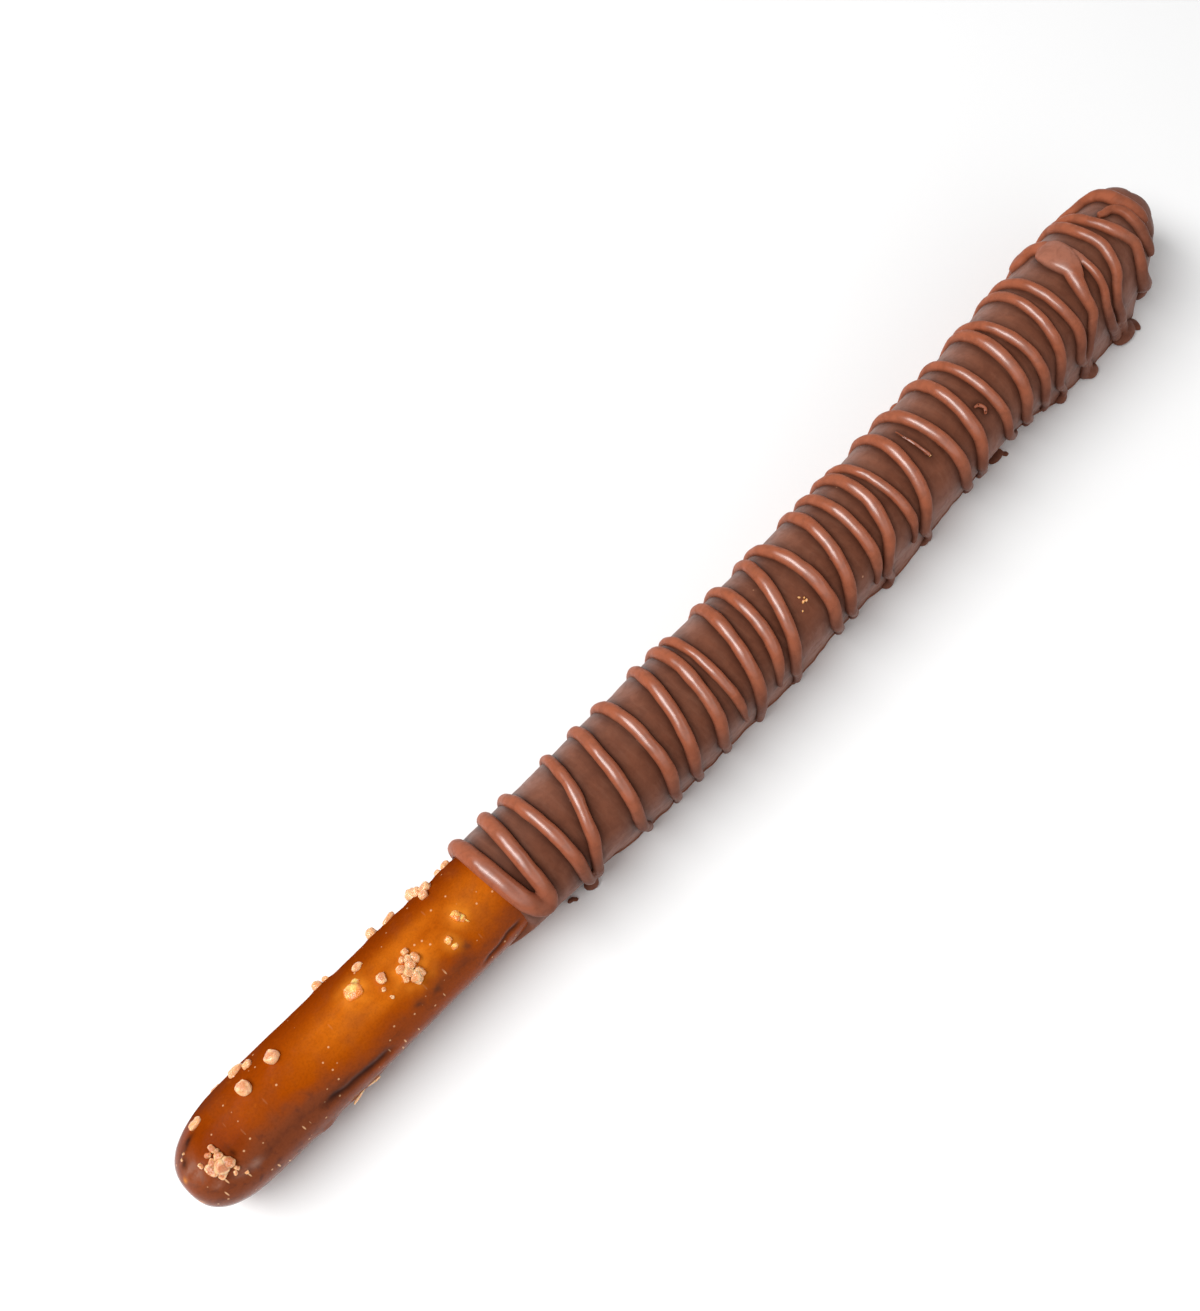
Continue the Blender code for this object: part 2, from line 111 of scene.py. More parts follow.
# The drizzle. Each strand in millimetres: the stations where it passes the left side, the crest and the
# right side, the station and side distance of its toe at the table (distance 0 if it thins out on the
# side), its width, and how far it hooks back towards the bare end low on its right side.
DRIZZLE = (
    (58.7, 59.0, 59.0, 60.0, 7.8, 1.9, 0.1), (66.3, 64.4, 61.2, 60.8, 7.3, 1.7, 0.4),
    (71.5, 70.1, 68.7, 70.5, 6.4, 1.9, 0.1), (75.9, 75.9, 75.1, 76.0, 6.6, 1.9, 0.4),
    (83.0, 81.1, 79.0, 80.2, 7.2, 1.9, 0.3), (86.6, 85.8, 84.5, 85.7, 7.0, 1.9, 0.5),
    (88.8, 88.5, 88.6, 88.9, 0.0, 1.5, 0.1), (95.4, 93.5, 91.8, 92.2, 6.7, 1.9, 0.3),
    (98.5, 97.7, 95.7, 95.4, 0.0, 1.8, 0.5), (104.3, 101.7, 98.7, 100.0, 7.8, 1.9, 0.3),
    (106.8, 107.3, 107.4, 109.5, 6.8, 2.0, 0.5), (113.9, 112.5, 110.4, 112.7, 6.5, 1.9, 0.5),
    (117.4, 116.9, 116.4, 115.6, 0.0, 1.8, 0.4), (121.2, 121.2, 118.9, 120.5, 8.4, 1.9, 1.2),
    (123.7, 124.1, 124.7, 123.8, 0.0, 1.5, 0.4), (130.1, 129.1, 127.2, 129.3, 8.1, 1.9, 1.0),
    (134.9, 135.2, 136.2, 139.3, 7.3, 2.0, 0.3), (141.9, 140.8, 140.2, 142.6, 7.1, 2.0, 0.5),
    (146.0, 145.6, 146.4, 151.0, 6.7, 1.7, 0.3), (152.7, 151.4, 150.8, 154.3, 7.3, 2.0, 0.6),
    (154.2, 154.7, 155.2, 158.0, 8.0, 1.7, 0.6), (160.9, 159.9, 158.6, 161.8, 9.4, 1.7, 0.8),
    (163.9, 163.3, 163.8, 168.2, 10.1, 1.7, 0.9),
)
STRAND_LIFT = 0.2 * MM  # how far a strand's middle stands off the coat
LEFT_STRAND_LIFT = -0.05 * MM
LEFT_TURNS = (-35.0, -75.0)  # where the strands sink in on the left
STRAND_FALL = 138.0  # turn where a strand ends low on the wall
THIN_END_TURN = 86.0  # turn where a strand without a toe ends
STRAND_SIDES = 14
STRAND_POINTS = 72
STRAND_UNEVENNESS = 0.22 * MM
STRAND_LUMP = 2.2 * MM
DRIZZLE_FACES = 125000  # triangles that the fused drizzle is thinned to
SCRAP_FACES = 12  # loose pieces with fewer faces are dropped
BORE_OVERLAP = 0.12 * MM  # how much smaller the rod's room in the coat is than the rod
TABLE_SNAP = 0.03 * MM  # what is lower than this is set flat on the table

# Strands that wander, in millimetres: the toe as (station, side distance) or nothing, then (station,
# turn, width) of their points. They are the turn at the dip line, the smear's two ends, a thin strand
# beside it, four strands over the tip, and three small splinters.
WANDERERS = (
    (None, ((50.4, -112, 2.2), (50.3, -80, 2.4), (50.2, -45, 2.5), (50.2, -10, 2.6), (50.5, 20, 2.7),
            (50.9, 40, 2.7), (51.7, 56, 2.6), (52.7, 63, 2.5), (53.4, 55, 2.4), (53.7, 40, 2.2),
            (53.9, 15, 2.1), (54.4, -15, 2.2), (54.9, -45, 2.2), (55.3, -80, 2.1), (55.4, -112, 2.0))),
    (None, ((170.2, -130, 2.0), (170.6, -100, 2.2), (170.9, -75, 2.5), (171.6, -60, 2.4),
            (171.6, -44, 2.2))),
    ((167.6, 9.6), ((169.6, -14, 1.8), (168.9, -2, 2.2), (168.1, 10, 2.3), (167.5, 23, 1.9),
                    (167.3, 34, 1.7), (167.1, 44, 1.6), (165.9, 56, 1.5), (165.0, 75, 1.5),
                    (165.8, 100, 1.5), (167.0, 130, 1.6))),
    ((176.2, 9.2), ((172.2, -22, 1.1), (171.9, -7, 1.2), (171.7, 1, 1.2), (171.5, 14, 1.3),
                    (171.2, 29, 1.3), (170.6, 39, 1.4), (169.9, 52, 1.5), (170.6, 75, 1.6),
                    (172.9, 100, 1.7), (175.2, 130, 1.8))),
    ((177.9, 9.6), ((176.2, -130, 1.8), (176.8, -100, 1.8), (177.4, -75, 1.9), (176.9, -58, 1.9),
                    (176.2, -39, 1.9), (175.8, -22, 1.9), (175.8, -9, 1.8), (175.8, 4, 1.8),
                    (175.2, 18, 1.7), (174.4, 33, 1.7), (173.2, 43, 1.6), (172.3, 58, 1.6),
                    (173.4, 80, 1.7), (175.3, 105, 1.8), (177.0, 130, 1.8))),
    (None, ((178.0, -130, 1.7), (178.2, -95, 1.7), (178.3, -63, 1.7), (178.7, -54, 1.6), (178.7, -38, 1.7),
            (178.6, -22, 1.7), (178.9, -9, 1.8), (179.3, 3, 1.9), (179.9, 15, 1.8), (180.5, 28, 1.8),
            (180.2, 38, 1.8), (179.5, 50, 2.0), (179.4, 65, 2.2), (180.7, 84, 2.6), (182.4, 100, 2.8))),
    (None, ((180.0, -125, 1.6), (180.6, -80, 1.7), (181.4, -60, 1.8), (183.6, -57, 2.0), (185.2, -46, 2.3),
            (185.4, -28, 2.4), (185.2, -14, 2.3), (185.4, 0, 2.2), (185.6, 16, 2.0), (185.3, 30, 1.5))),
    (None, ((180.4, -21, 1.1), (181.3, -17, 1.3), (182.4, -15, 1.4), (183.3, -8, 1.6), (183.6, 2, 1.7),
            (183.5, 14, 1.8), (183.4, 28, 1.9), (183.0, 39, 1.9), (183.1, 50, 1.8), (183.3, 60, 1.4))),
    (None, ((132.2, -28, 0.3), (132.1, -10, 0.45), (132.2, 5, 0.5), (132.4, 18, 0.6))),
    (None, ((142.4, 18, 0.4), (143.2, 20, 0.6), (143.6, 27, 0.6), (143.1, 32, 0.5))),
    (None, ((172.6, 46, 0.8), (173.6, 44, 0.8), (174.6, 41, 0.6))),
)

# Lumps of set chocolate that hug the coat: station, turn, height over the coat, half sizes along, across
# and outward, how far they are turned on the coat in degrees, and how much they narrow towards the right.
# First the smear, then the end.
LUMPS = (
    (170.1, -19.0, 0.1, 2.2, 4.6, 1.3, 18.0, 0.35), (170.4, -74.0, 0.0, 2.4, 2.0, 1.2, 0.0, 0.0),
    (188.0, -28.0, 0.0, 1.9, 2.6, 0.7, 0.0, 0.0), (188.0, 12.0, 0.0, 2.0, 2.8, 0.75, 0.0, 0.0),
    (186.8, 38.0, -0.2, 1.7, 2.4, 0.7, 0.0, 0.0),
)
# The smear's pale film is partly painted sheen
SMEAR_MIDDLE = (170.3 * MM, -22.0, 0.8 * MM)  # station, turn and lift of the smear's palest part
LUMP_FLATNESS = 0.62  # power of a lump's height: 1 is an egg, less is flatter on top
# How the fused skin is marked: how near a face of drizzle is to the strands, the angle of a crisp edge,
# the reach of the painted shade in the seams over the coat and over the drizzle, and of that between
# strands
TINT_SIZES = {"Near": 0.015 * MM, "Crease": math.radians(32.0), "Cavity": 0.75 * MM, "Side": 0.5 * MM,
              "Room": 2.0 * MM}

# Toes at the table: station, side distance from the centre line, height, three half sizes
TOES = (
    (60.0, 7.0, 0.8, 1.1, 0.9, 0.9), (100.0, 7.1, 0.7, 0.9, 0.8, 0.8), (120.3, 7.5, 0.8, 1.1, 1.0, 0.9),
    (129.1, 7.3, 0.7, 1.0, 0.9, 0.8), (161.8, 8.4, 0.8, 1.1, 1.1, 0.9), (168.6, 9.2, 0.9, 1.4, 1.2, 1.0),
    (177.4, 9.2, 1.1, 2.4, 1.8, 1.2), (180.1, 9.7, 0.6, 0.8, 1.4, 0.5), (183.9, 7.5, 3.2, 1.7, 1.4, 1.8),
    (147.4, 7.0, 0.3, 1.7, 0.9, 0.3), (148.9, 7.9, 0.2, 0.5, 0.5, 0.2), (84.0, -8.1, 1.1, 1.4, 1.2, 1.1),
    (143.0, -8.3, 1.1, 1.4, 1.2, 1.1),
    (56.6, 6.6, 0.25, 0.6, 0.35, 0.3), (57.2, 7.0, 0.2, 0.35, 0.35, 0.25),
)

# Salt on the bare stretch: station and turn, size along and across, and height, in millimetres, then how
# golden a grain is. Golden ones sit deep in the crust.
SALT = (
    (12.7, -23.0, 1.6, 1.8, 1.5, 0.0), (17.3, -26.0, 1.6, 1.7, 1.5, 0.0), (13.2, -54.0, 1.9, 0.8, 1.1, 0.2),
    (14.6, -46.0, 1.3, 0.9, 1.0, 0.3), (6.0, -42.0, 1.7, 1.2, 0.9, 0.3), (31.4, -36.0, 1.4, 0.9, 0.8, 0.1),
    (32.4, -4.0, 1.1, 1.3, 1.0, 0.0), (31.7, 6.0, 0.5, 0.5, 0.4, 0.0), (31.8, 18.0, 0.4, 0.5, 0.4, 0.0),
    (26.5, -76.0, 1.3, 1.2, 1.4, 0.4), (27.7, -77.0, 0.9, 0.7, 0.8, 0.4), (35.4, -76.0, 1.4, 1.3, 1.5, 0.1),
    (38.1, -74.0, 2.0, 0.9, 0.9, 0.2), (42.2, -75.0, 1.5, 1.3, 1.7, 0.0), (42.8, -64.0, 1.2, 1.1, 1.4, 0.0),
    (43.8, -55.0, 1.4, 1.3, 1.3, 0.0), (43.0, -45.0, 1.2, 1.1, 1.2, 0.0), (46.4, -76.0, 1.0, 0.7, 0.8, 0.2),
    (47.7, -76.0, 1.2, 0.9, 1.0, 0.1), (3.5, 1.0, 0.5, 0.7, 0.4, 0.0), (2.3, -29.0, 0.3, 0.4, 0.3, 0.2),
    (2.9, -31.0, 0.3, 0.3, 0.3, 0.2), (6.2, 32.0, 0.5, 0.7, 0.5, 0.0), (5.7, 35.0, 0.4, 0.6, 0.4, 0.0),
    (6.6, 44.0, 0.4, 0.4, 0.4, 0.4), (21.2, 96.0, 2.6, 0.5, 0.5, 0.0), (23.2, 97.0, 2.4, 0.4, 0.4, 0.0),
    (9.5, -105.0, 1.7, 1.5, 1.2, 0.0), (33.0, -118.0, 1.6, 1.4, 1.2, 0.0),
    (29.1, -16.0, 2.3, 2.1, 1.3, 1.0), (29.9, -22.0, 1.2, 1.0, 1.0, 1.0),
    (41.1, 16.0, 1.0, 1.0, 0.9, 0.8), (41.2, 24.0, 0.9, 1.0, 0.6, 1.0), (43.8, 3.0, 1.3, 1.4, 1.0, 1.0),
    (44.1, 8.0, 1.0, 1.2, 0.8, 1.0), (44.3, 14.0, 0.3, 0.8, 0.4, 0.8),
)
# Clusters of grains grown together: the station and turn of the middle and how golden it is, then each
# grain's steps along and round from there, its size along and across, and its height, in millimetres. A
# goldness under 0 is a duller, clearer grain.
CLUSTERS = (
    ((5.3, 19.0, -0.6),
     ((-1.1, -0.5, 1.1, 1.8, 1.0), (-0.1, 0.0, 1.7, 1.7, 1.1), (0.7, 0.1, 1.1, 1.6, 1.0),
      (-0.7, 0.8, 1.1, 0.9, 0.8), (-0.6, -1.1, 1.0, 1.0, 0.9), (0.4, -1.2, 1.0, 0.8, 0.9),
      (-0.4, -2.2, 0.8, 0.6, 0.7), (0.4, -2.3, 0.6, 1.0, 0.8), (0.6, -1.7, 0.6, 0.6, 0.7))),
    ((35.7, 10.0, 0.1),
     ((0.8, -1.9, 0.8, 0.8, 1.0), (-0.1, -1.4, 0.8, 0.8, 1.1), (0.5, -1.0, 1.1, 1.0, 1.3),
      (-0.9, -0.6, 1.4, 0.9, 1.2), (0.2, -0.3, 1.2, 1.2, 1.5), (1.2, -0.6, 1.0, 1.2, 1.2),
      (-0.5, 0.1, 1.2, 1.2, 1.5), (-1.3, 0.4, 0.7, 1.0, 1.1), (-0.2, 1.0, 1.5, 1.3, 1.3),
      (0.5, 1.0, 0.8, 1.4, 1.2), (-0.2, 1.6, 1.2, 0.9, 1.0))),
)
SALT_SINK = 0.3  # share of a grain's height that is in the crust
GOLD_SINK = 0.3  # share more that a golden grain sinks
# Radians that a grain leans and twists at most
GRAIN_LEAN = 0.25
LOOSE_TWIST = 0.5
CLUSTER_TWIST = 0.7
SALT_ROUNDNESS = 0.8
SALT_LUMP = 1.1 * MM
CRUMB_GOLD = 0.45
# Golden crumbs stuck to the coat: station, turn and size in millimetres
CRUMBS = ((104.0, 25.0, 0.45), (104.5, 23.0, 0.35), (104.5, 27.0, 0.35), (103.2, 32.0, 0.25),
          (104.1, 19.5, 0.25), (132.4, 18.5, 0.3))
# Creases in the crust, sunk and with painted shade in them: two ends as station and turn, and the width in
# degrees
CREASES = ((18.0, 55.0, 27.5, 67.0, 5.5), (42.6, 74.0, 49.0, 62.0, 3.5))
CREASE_DEPTH = 0.22 * MM
CREASE_WANDER = 3.0  # degrees
CREASE_FADE = 0.15  # share of a crease's length that it fades over, before and after each end
# The crust swells round each grain: its reach is a share of the grain's size
COLLAR_HEIGHT = 0.2 * MM
COLLAR_REACH = 0.75
# Tones of the crust, as soft patches: station and turn of the middle, and half sizes along and round
AMBER_PATCHES = ((27.0, -2.0, 7.0, 26.0), (47.0, 0.0, 4.5, 32.0), (37.0, 6.0, 5.0, 16.0),
                 (30.0, 14.0, 3.5, 12.0), (37.0, -20.0, 7.5, 13.0))
# Painted shade: darker crust round the nose, and a painted shadow beside the first salt cluster
SHADE_PATCHES = ((5.8, -8.0, 3.2, 42.0), (8.2, 14.0, 1.5, 16.0))
# Dark spots at the nose, and a painted shadow beside the first salt cluster
DARK_SPOT_AND_SHADOW_PATCHES = ((2.2, -23.0, 0.6, 7.0), (3.6, -36.0, 1.7, 6.0), (6.9, 14.0, 0.5, 9.0))
GLOW_PATCHES = ((29.1, -17.0, 1.7, 14.0), (43.9, 5.0, 1.4, 12.0), (41.2, 21.0, 1.0, 10.0),
                (35.6, 12.0, 2.3, 19.0), (0.9, -9.0, 0.25, 5.0), (0.3, 52.0, 0.3, 7.0))
# Pale dusty patches, partly a painted grey sheen, most of all at the nose
DUST_AND_SHEEN_PATCHES = ((2.4, -4.0, 1.1, 18.0), (3.4, 31.0, 0.6, 5.0), (6.2, 40.0, 0.8, 6.0),
                (7.8, 44.0, 0.9, 6.0))
# Scuffs on the right flank, and painted shadow beside the first crease and along the top left edge near the
# nose
SCUFF_AND_SHADOW_PATCHES = ((33.6, 46.0, 0.8, 6.0), (36.6, 48.0, 1.8, 6.0), (40.8, 46.0, 1.2, 9.0),
                 (42.2, 34.0, 0.7, 8.0), (12.0, 44.0, 4.0, 6.0), (20.0, 53.0, 3.0, 6.0),
                 (24.5, 61.0, 3.0, 6.0), (7.5, -62.0, 4.0, 16.0))
SWELLS = ((16.2, 99.0, 1.5, 9.0),)  # a bump low on the right
SWELL_HEIGHT = 0.35 * MM
TONES = ("amber", "shade", "dusk", "dark_spots_and_shadow", "glow", "dust_and_sheen", "scuff_and_shadow")
# How strong the last four tones are, in their order
PATCH_SHARES = ((0.8, DARK_SPOT_AND_SHADOW_PATCHES), (0.55, GLOW_PATCHES), (0.5, DUST_AND_SHEEN_PATCHES), (0.8, SCUFF_AND_SHADOW_PATCHES))
# The painted shade down the left and the dusky right of the crust: turns in degrees and stations in
# millimetres
SHADE_TURNS = (-5.0, -70.0)
SHADE_PATCH_SHARE = 0.9
DUSK_TURN = 21.0
DUSK_TURN_RISE = 24.0
DUSK_RISE_STATIONS = (8.0, 28.0)
DUSK_BLUR = (16.0, 12.0)
FLANK_EASE = 0.45
FLANK_STATIONS = (18.0, 27.0)
FLANK_TURNS = (95.0, 70.0)
NOSE_DUSK = 0.75
NOSE_DUSK_STATIONS = (5.5, 1.5)
BELLY_TURNS = (105.0, 150.0)
# How finely the crust is cut
CRUST_SIDES = 144
NOSE_RINGS = 34
BARE_RINGS = 140
BARE_RINGS_END = 54.0 * MM
HIDDEN_START = 60.0 * MM
HIDDEN_RINGS = 16
SEED = 7

# The camera and the photograph's frame
FRAME_PIXELS = (1200, 1311)
FOCAL_PIXELS = 1450.0
CAMERA_PLACE = (30.23 * MM, -37.03 * MM, 188.94 * MM)  # station, Y, Z
CAMERA_RIGHT = Vector((0.6852, -0.7283, 0.0))
CAMERA_VIEW = Vector((0.2669, 0.2511, -0.9304))
SOFTBOX_DIRECTION = Vector((-0.50, 0.33, 0.80))  # from the rod to the lamp
SOFTBOX_DISTANCE = 0.7
SOFTBOX_SIZE = (0.34, 0.72)
SENSOR_WIDTH = 36.0  # millimetres
CAMERA_CLIP = (0.005, 20.0)
FLOOR_REACH = 1.5


def linear(red, green, blue):
    """A linear colour from an sRGB one of 0 to 255."""
    shares = [value / 255.0 for value in (red, green, blue)]
    return tuple(x / 12.92 if x <= 0.04045 else ((x + 0.055) / 1.055) ** 2.4 for x in shares)


# Linear colours of the marks on the crust, the salt and the chocolate, among them painted shade, shadow and
# sheen
PORE = (0.05, 0.01, 0.001)
RUST = (0.06, 0.018, 0.014)
SCUFF_AND_SHADOW = (0.10, 0.026, 0.012)
DUST_AND_SHEEN = (0.34, 0.19, 0.14)
DARK_SPOT_AND_SHADOW = (0.022, 0.006, 0.003)
GLOW = (0.80, 0.27, 0.025)
SALT_SPECK = (0.85, 0.50, 0.26)
CREASE_SHADE = (0.02, 0.006, 0.004)
GOLD_CORE = linear(255, 206, 112)
GOLD_RIM = linear(226, 126, 34)
DULL_SALT = linear(188, 106, 56)
COAT_LOW_SHEEN = (0.32, 0.135, 0.09)
COAT_SPECK = (0.52, 0.26, 0.15)
SMEAR_FILM_AND_SHEEN = (0.37, 0.165, 0.115)
SEAM_SHADE = (0.03, 0.008, 0.004)
CLOUD_DARK = (0.05, 0.014, 0.008)
BLOOM = (0.30, 0.14, 0.09)
# Painted shade: the coat is darkened between close strands
SHUT_SHADE = 0.6  # share of the coat's colour that is left between close strands
# Painted shade at the tip: the share below is taken from the drizzle's painted light
TIP_SHADE = 0.8  # share of the drizzle's light colour that is lost at the tip
TIP_THICKENING = 1.7 * MM  # how much higher the drizzle lies near the tip


# Shape of the rod and its coat

def smoothstep(start, end, value):
    """0 before start, 1 after end, and an eased blend between them; start may be the larger one."""
    share = min(max((value - start) / (end - start), 0.0), 1.0)
    return share * share * (3.0 - 2.0 * share)


def along_profile(profile, station):
    """Size of a profile at a station: a smooth curve through its points, which are in millimetres."""
    place = station / MM
    if place <= profile[0][0]:
        return profile[0][1] * MM
    if place >= profile[-1][0]:
        return profile[-1][1] * MM
    index = max(i for i, point in enumerate(profile[:-1]) if point[0] <= place)

    def slope(i):
        before, after = profile[max(i - 1, 0)], profile[min(i + 1, len(profile) - 1)]
        return (after[1] - before[1]) / (after[0] - before[0])

    (x0, y0), (x1, y1) = profile[index], profile[index + 1]
    span = x1 - x0
    t = (place - x0) / span
    value = ((2 * t**3 - 3 * t**2 + 1) * y0 + (t**3 - 2 * t**2 + t) * span * slope(index)
             + (3 * t**2 - 2 * t**3) * y1 + (t**3 - t**2) * span * slope(index + 1))
    return value * MM


def centre(station):
    """Middle of the rod at a station: it bows sideways, and its bare end dips a little."""
    share = min(max(station / ROD_END, 0.0), 1.0)
    side = SIDE_SHIFT - BOW * math.sin(math.pi * share) ** 1.5 + along_profile(ROD_DRIFT, station)
    side -= NOSE_SHIFT * smoothstep(NOSE_SHIFT_END, 0.0, station)
    droop = END_DROOP * max(0.0, 1.0 - station / DIP_STATION) ** 1.5
    return Vector((station + MARK_X, side, AXIS_HEIGHT - droop))


def rod_radius(station):
    """The rod is round and even, with a blunt nose at each end."""
    from_end = max(min(station - BARE_END, ROD_END - station), NOSE_TIP)
    if from_end >= NOSE_LENGTH:
        return ROD_RADIUS
    share = 1.0 - from_end / NOSE_LENGTH
    return ROD_RADIUS * (1.0 - share**NOSE_POWER) ** (1.0 / NOSE_POWER)


def outward(turn):
    """Unit vector from the rod's middle towards a turn."""
    angle = math.radians(turn)
    return Vector((0.0, -math.sin(angle), math.cos(angle)))


def wall_point(station, turn):
    """Side distance and height of the coat where it drops from its round side to its foot."""
    radius = along_profile(COAT_RADIUS, station)
    foot = along_profile(FOOT_RIGHT if turn > 0 else FOOT_LEFT, station)
    foot += FOOT_WANDER * noise.noise(Vector((station / MM * 0.45, math.copysign(20.0, turn), SEED)))
    share = (abs(turn) - ROUND_TURN) / (WALL_END - ROUND_TURN)
    weights = ((1 - share) ** 3, 3 * share * (1 - share) ** 2, 3 * share**2 * (1 - share), share**3)
    sides = (radius, radius, foot + 0.3 * (radius - foot), foot)
    heights = (AXIS_HEIGHT, AXIS_HEIGHT - WALL_PULL, FOOT_HEIGHT + 0.8 * WALL_PULL, FOOT_HEIGHT)
    return tuple(sum(weight * size for weight, size in zip(weights, sizes)) for sizes in (sides, heights))


def coat_surface(station, turn):
    """A point on the coat: round over the top, then down the wall to the foot."""
    middle = centre(station)
    point = middle + along_profile(COAT_RADIUS, station) * outward(turn)
    if abs(turn) <= ROUND_TURN:
        return point
    side, height = wall_point(station, turn)
    footed = Vector((middle.x, middle.y - math.copysign(side, turn), height))
    return footed.lerp(point, smoothstep(*NUB_STATIONS, station))


def coat_point(station, turn, lift):
    """A point over the coat, lifted square to its surface."""
    if abs(turn) < ROUND_TURN - 4.0:
        return coat_surface(station, turn) + lift * outward(turn)
    step = coat_surface(station, turn + 2.0) - coat_surface(station, turn - 2.0)
    return coat_surface(station, turn) + lift * Vector((0.0, step.z, -step.y)).normalized()


def foot_point(station, reach, height):
    """A point over the table, beside the centre line: a positive reach is to the right."""
    middle = centre(station)
    return Vector((middle.x, middle.y - reach, height))


def spread(start, end, count):
    """Evenly spread numbers from start to end."""
    return [start + (end - start) * i / (count - 1) for i in range(count)]


def speckle(point, grain, offset=0.0):
    """Smooth noise of about -1 to 1, with lumps about one grain long."""
    return noise.noise(Vector(point) / grain + Vector((offset, offset * 0.7, SEED)))


# Meshes, node trees and materials

def skin(name, rings):
    """A closed skin over rings of points, with a fan at each end."""
    count = len(rings[0])
    points = [point for ring in rings for point in ring]
    faces = []
    for row in range(len(rings) - 1):
        for i in range(count):
            j = (i + 1) % count
            faces.append((row * count + i, row * count + j, (row + 1) * count + j, (row + 1) * count + i))
    for row in (0, len(rings) - 1):
        points.append(sum((Vector(point) for point in rings[row]), Vector()) / count)
        hub = len(points) - 1
        faces += [(row * count + i, row * count + (i + 1) % count, hub) for i in range(count)]
    mesh = bpy.data.meshes.new(name)
    mesh.from_pydata([tuple(point) for point in points], [], faces)
    face_outwards(mesh)
    return mesh


def face_outwards(mesh):
    """Turns every face of a closed mesh outwards."""
    bm = bmesh.new()
    bm.from_mesh(mesh)
    bmesh.ops.recalc_face_normals(bm, faces=bm.faces)
    bm.to_mesh(mesh)
    bm.free()


def link(name, data):
    """A new object holding a mesh, a lamp or a camera, in the scene."""
    item = bpy.data.objects.new(name, data)
    bpy.context.scene.collection.objects.link(item)
    return item


def new_tree(name, sizes):
    """A Geometry Nodes tree with a named input for each size."""
    tree = bpy.data.node_groups.new(name, "GeometryNodeTree")
    tree.interface.new_socket("Geometry", in_out="INPUT", socket_type="NodeSocketGeometry")
    for label, kind in sizes.items():
        tree.interface.new_socket(label, in_out="INPUT", socket_type=kind)
    tree.interface.new_socket("Geometry", in_out="OUTPUT", socket_type="NodeSocketGeometry")
    return tree


def add_node(tree, kind, links=None, **settings):
    """A node with its settings, and its inputs linked to sockets or set to values by name or index."""
    made = tree.nodes.new(kind)
    for name, value in settings.items():
        setattr(made, name, value)
    for key, value in (links or {}).items():
        if isinstance(value, bpy.types.NodeSocket):
            tree.links.new(value, made.inputs[key])
        else:
            made.inputs[key].default_value = value
    return made


def bake(item):
    """Applies an object's modifiers to its mesh."""
    bpy.context.view_layer.update()
    evaluated = item.evaluated_get(bpy.context.evaluated_depsgraph_get())
    mesh = bpy.data.meshes.new_from_object(evaluated)
    item.modifiers.clear()
    item.data = mesh
    return item


def run_tree(item, tree, values):
    """Runs a Geometry Nodes tree on an object and keeps the result as its plain mesh."""
    modifier = item.modifiers.new(tree.name, "NODES")
    modifier.node_group = tree
    for socket in tree.interface.items_tree:
        if socket.in_out == "INPUT" and socket.name in values:
            modifier[socket.identifier] = values[socket.name]
    return bake(item)


def geometry_step(tree, kind, geometry, links=None, **settings):
    """A node that takes a geometry and hands one on."""
    return add_node(tree, kind, {"Geometry": geometry, **(links or {})}, **settings).outputs["Geometry"]


def store_step(tree, geometry, name, value, domain):
    """Stores a number on a geometry under a name."""
    return geometry_step(tree, "GeometryNodeStoreNamedAttribute", geometry, {"Name": name, "Value": value},
                         data_type="FLOAT", domain=domain)


def stored_node(tree, name, kind="FLOAT"):
    """What a geometry holds under a name."""
    made = add_node(tree, "GeometryNodeInputNamedAttribute", {"Name": name}, data_type=kind)
    return made.outputs["Attribute"]


def uneven_step(tree, geometry, lump, depth, detail, roughness=0.5):
    """Pushes a skin's points about by a noise, with lumps of the given size."""
    bumps = add_node(tree, "ShaderNodeTexNoise", {
        "Scale": math_node(tree, "DIVIDE", 1.0, lump), "Detail": detail, "Roughness": roughness})
    away = vector_node(tree, "SUBTRACT", bumps.outputs["Color"], (0.5, 0.5, 0.5))
    return geometry_step(tree, "GeometryNodeSetPosition", geometry, {
        "Offset": vector_node(tree, "SCALE", away, depth)})


def end_tree(tree, geometry, material):
    """Ends a tree: its instances made real and its material set."""
    real = geometry_step(tree, "GeometryNodeRealizeInstances", geometry)
    final = geometry_step(tree, "GeometryNodeSetMaterial", real, {"Material": material})
    add_node(tree, "NodeGroupOutput", {"Geometry": final})
    return tree


def set_points(mesh, name, kind, values):
    """Stores one value for each point of a mesh."""
    attribute = mesh.attributes.new(name, kind, "POINT")
    key = "vector" if kind == "FLOAT_VECTOR" else "value"
    attribute.data.foreach_set(key, np.asarray(values, np.float32).ravel())


def keep_piece(item, node):
    """Hands a finished piece to the frame."""
    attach(item, "root")
    if node:
        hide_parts(node)


def new_material(name, **sockets):
    """A Principled material with plain values on its own sockets."""
    material = bpy.data.materials.new(name)
    material.use_nodes = True
    shader = material.node_tree.nodes["Principled BSDF"]
    for key, value in sockets.items():
        label = key.replace("_", " ").title().replace("Ior", "IOR")
        shader.inputs[label].default_value = value
    return material, material.node_tree, shader


def place_node(tree):
    """Object coordinates of a material."""
    return add_node(tree, "ShaderNodeTexCoord").outputs["Object"]


def lumps_node(tree, place, grain, detail=2.0, roughness=0.5, distortion=0.0):
    """Noise of a material with lumps about one grain long: its factor."""
    made = add_node(tree, "ShaderNodeTexNoise", {
        "Vector": place, "Scale": 1.0 / grain, "Detail": detail, "Roughness": roughness,
        "Distortion": distortion})
    return made.outputs["Fac"]


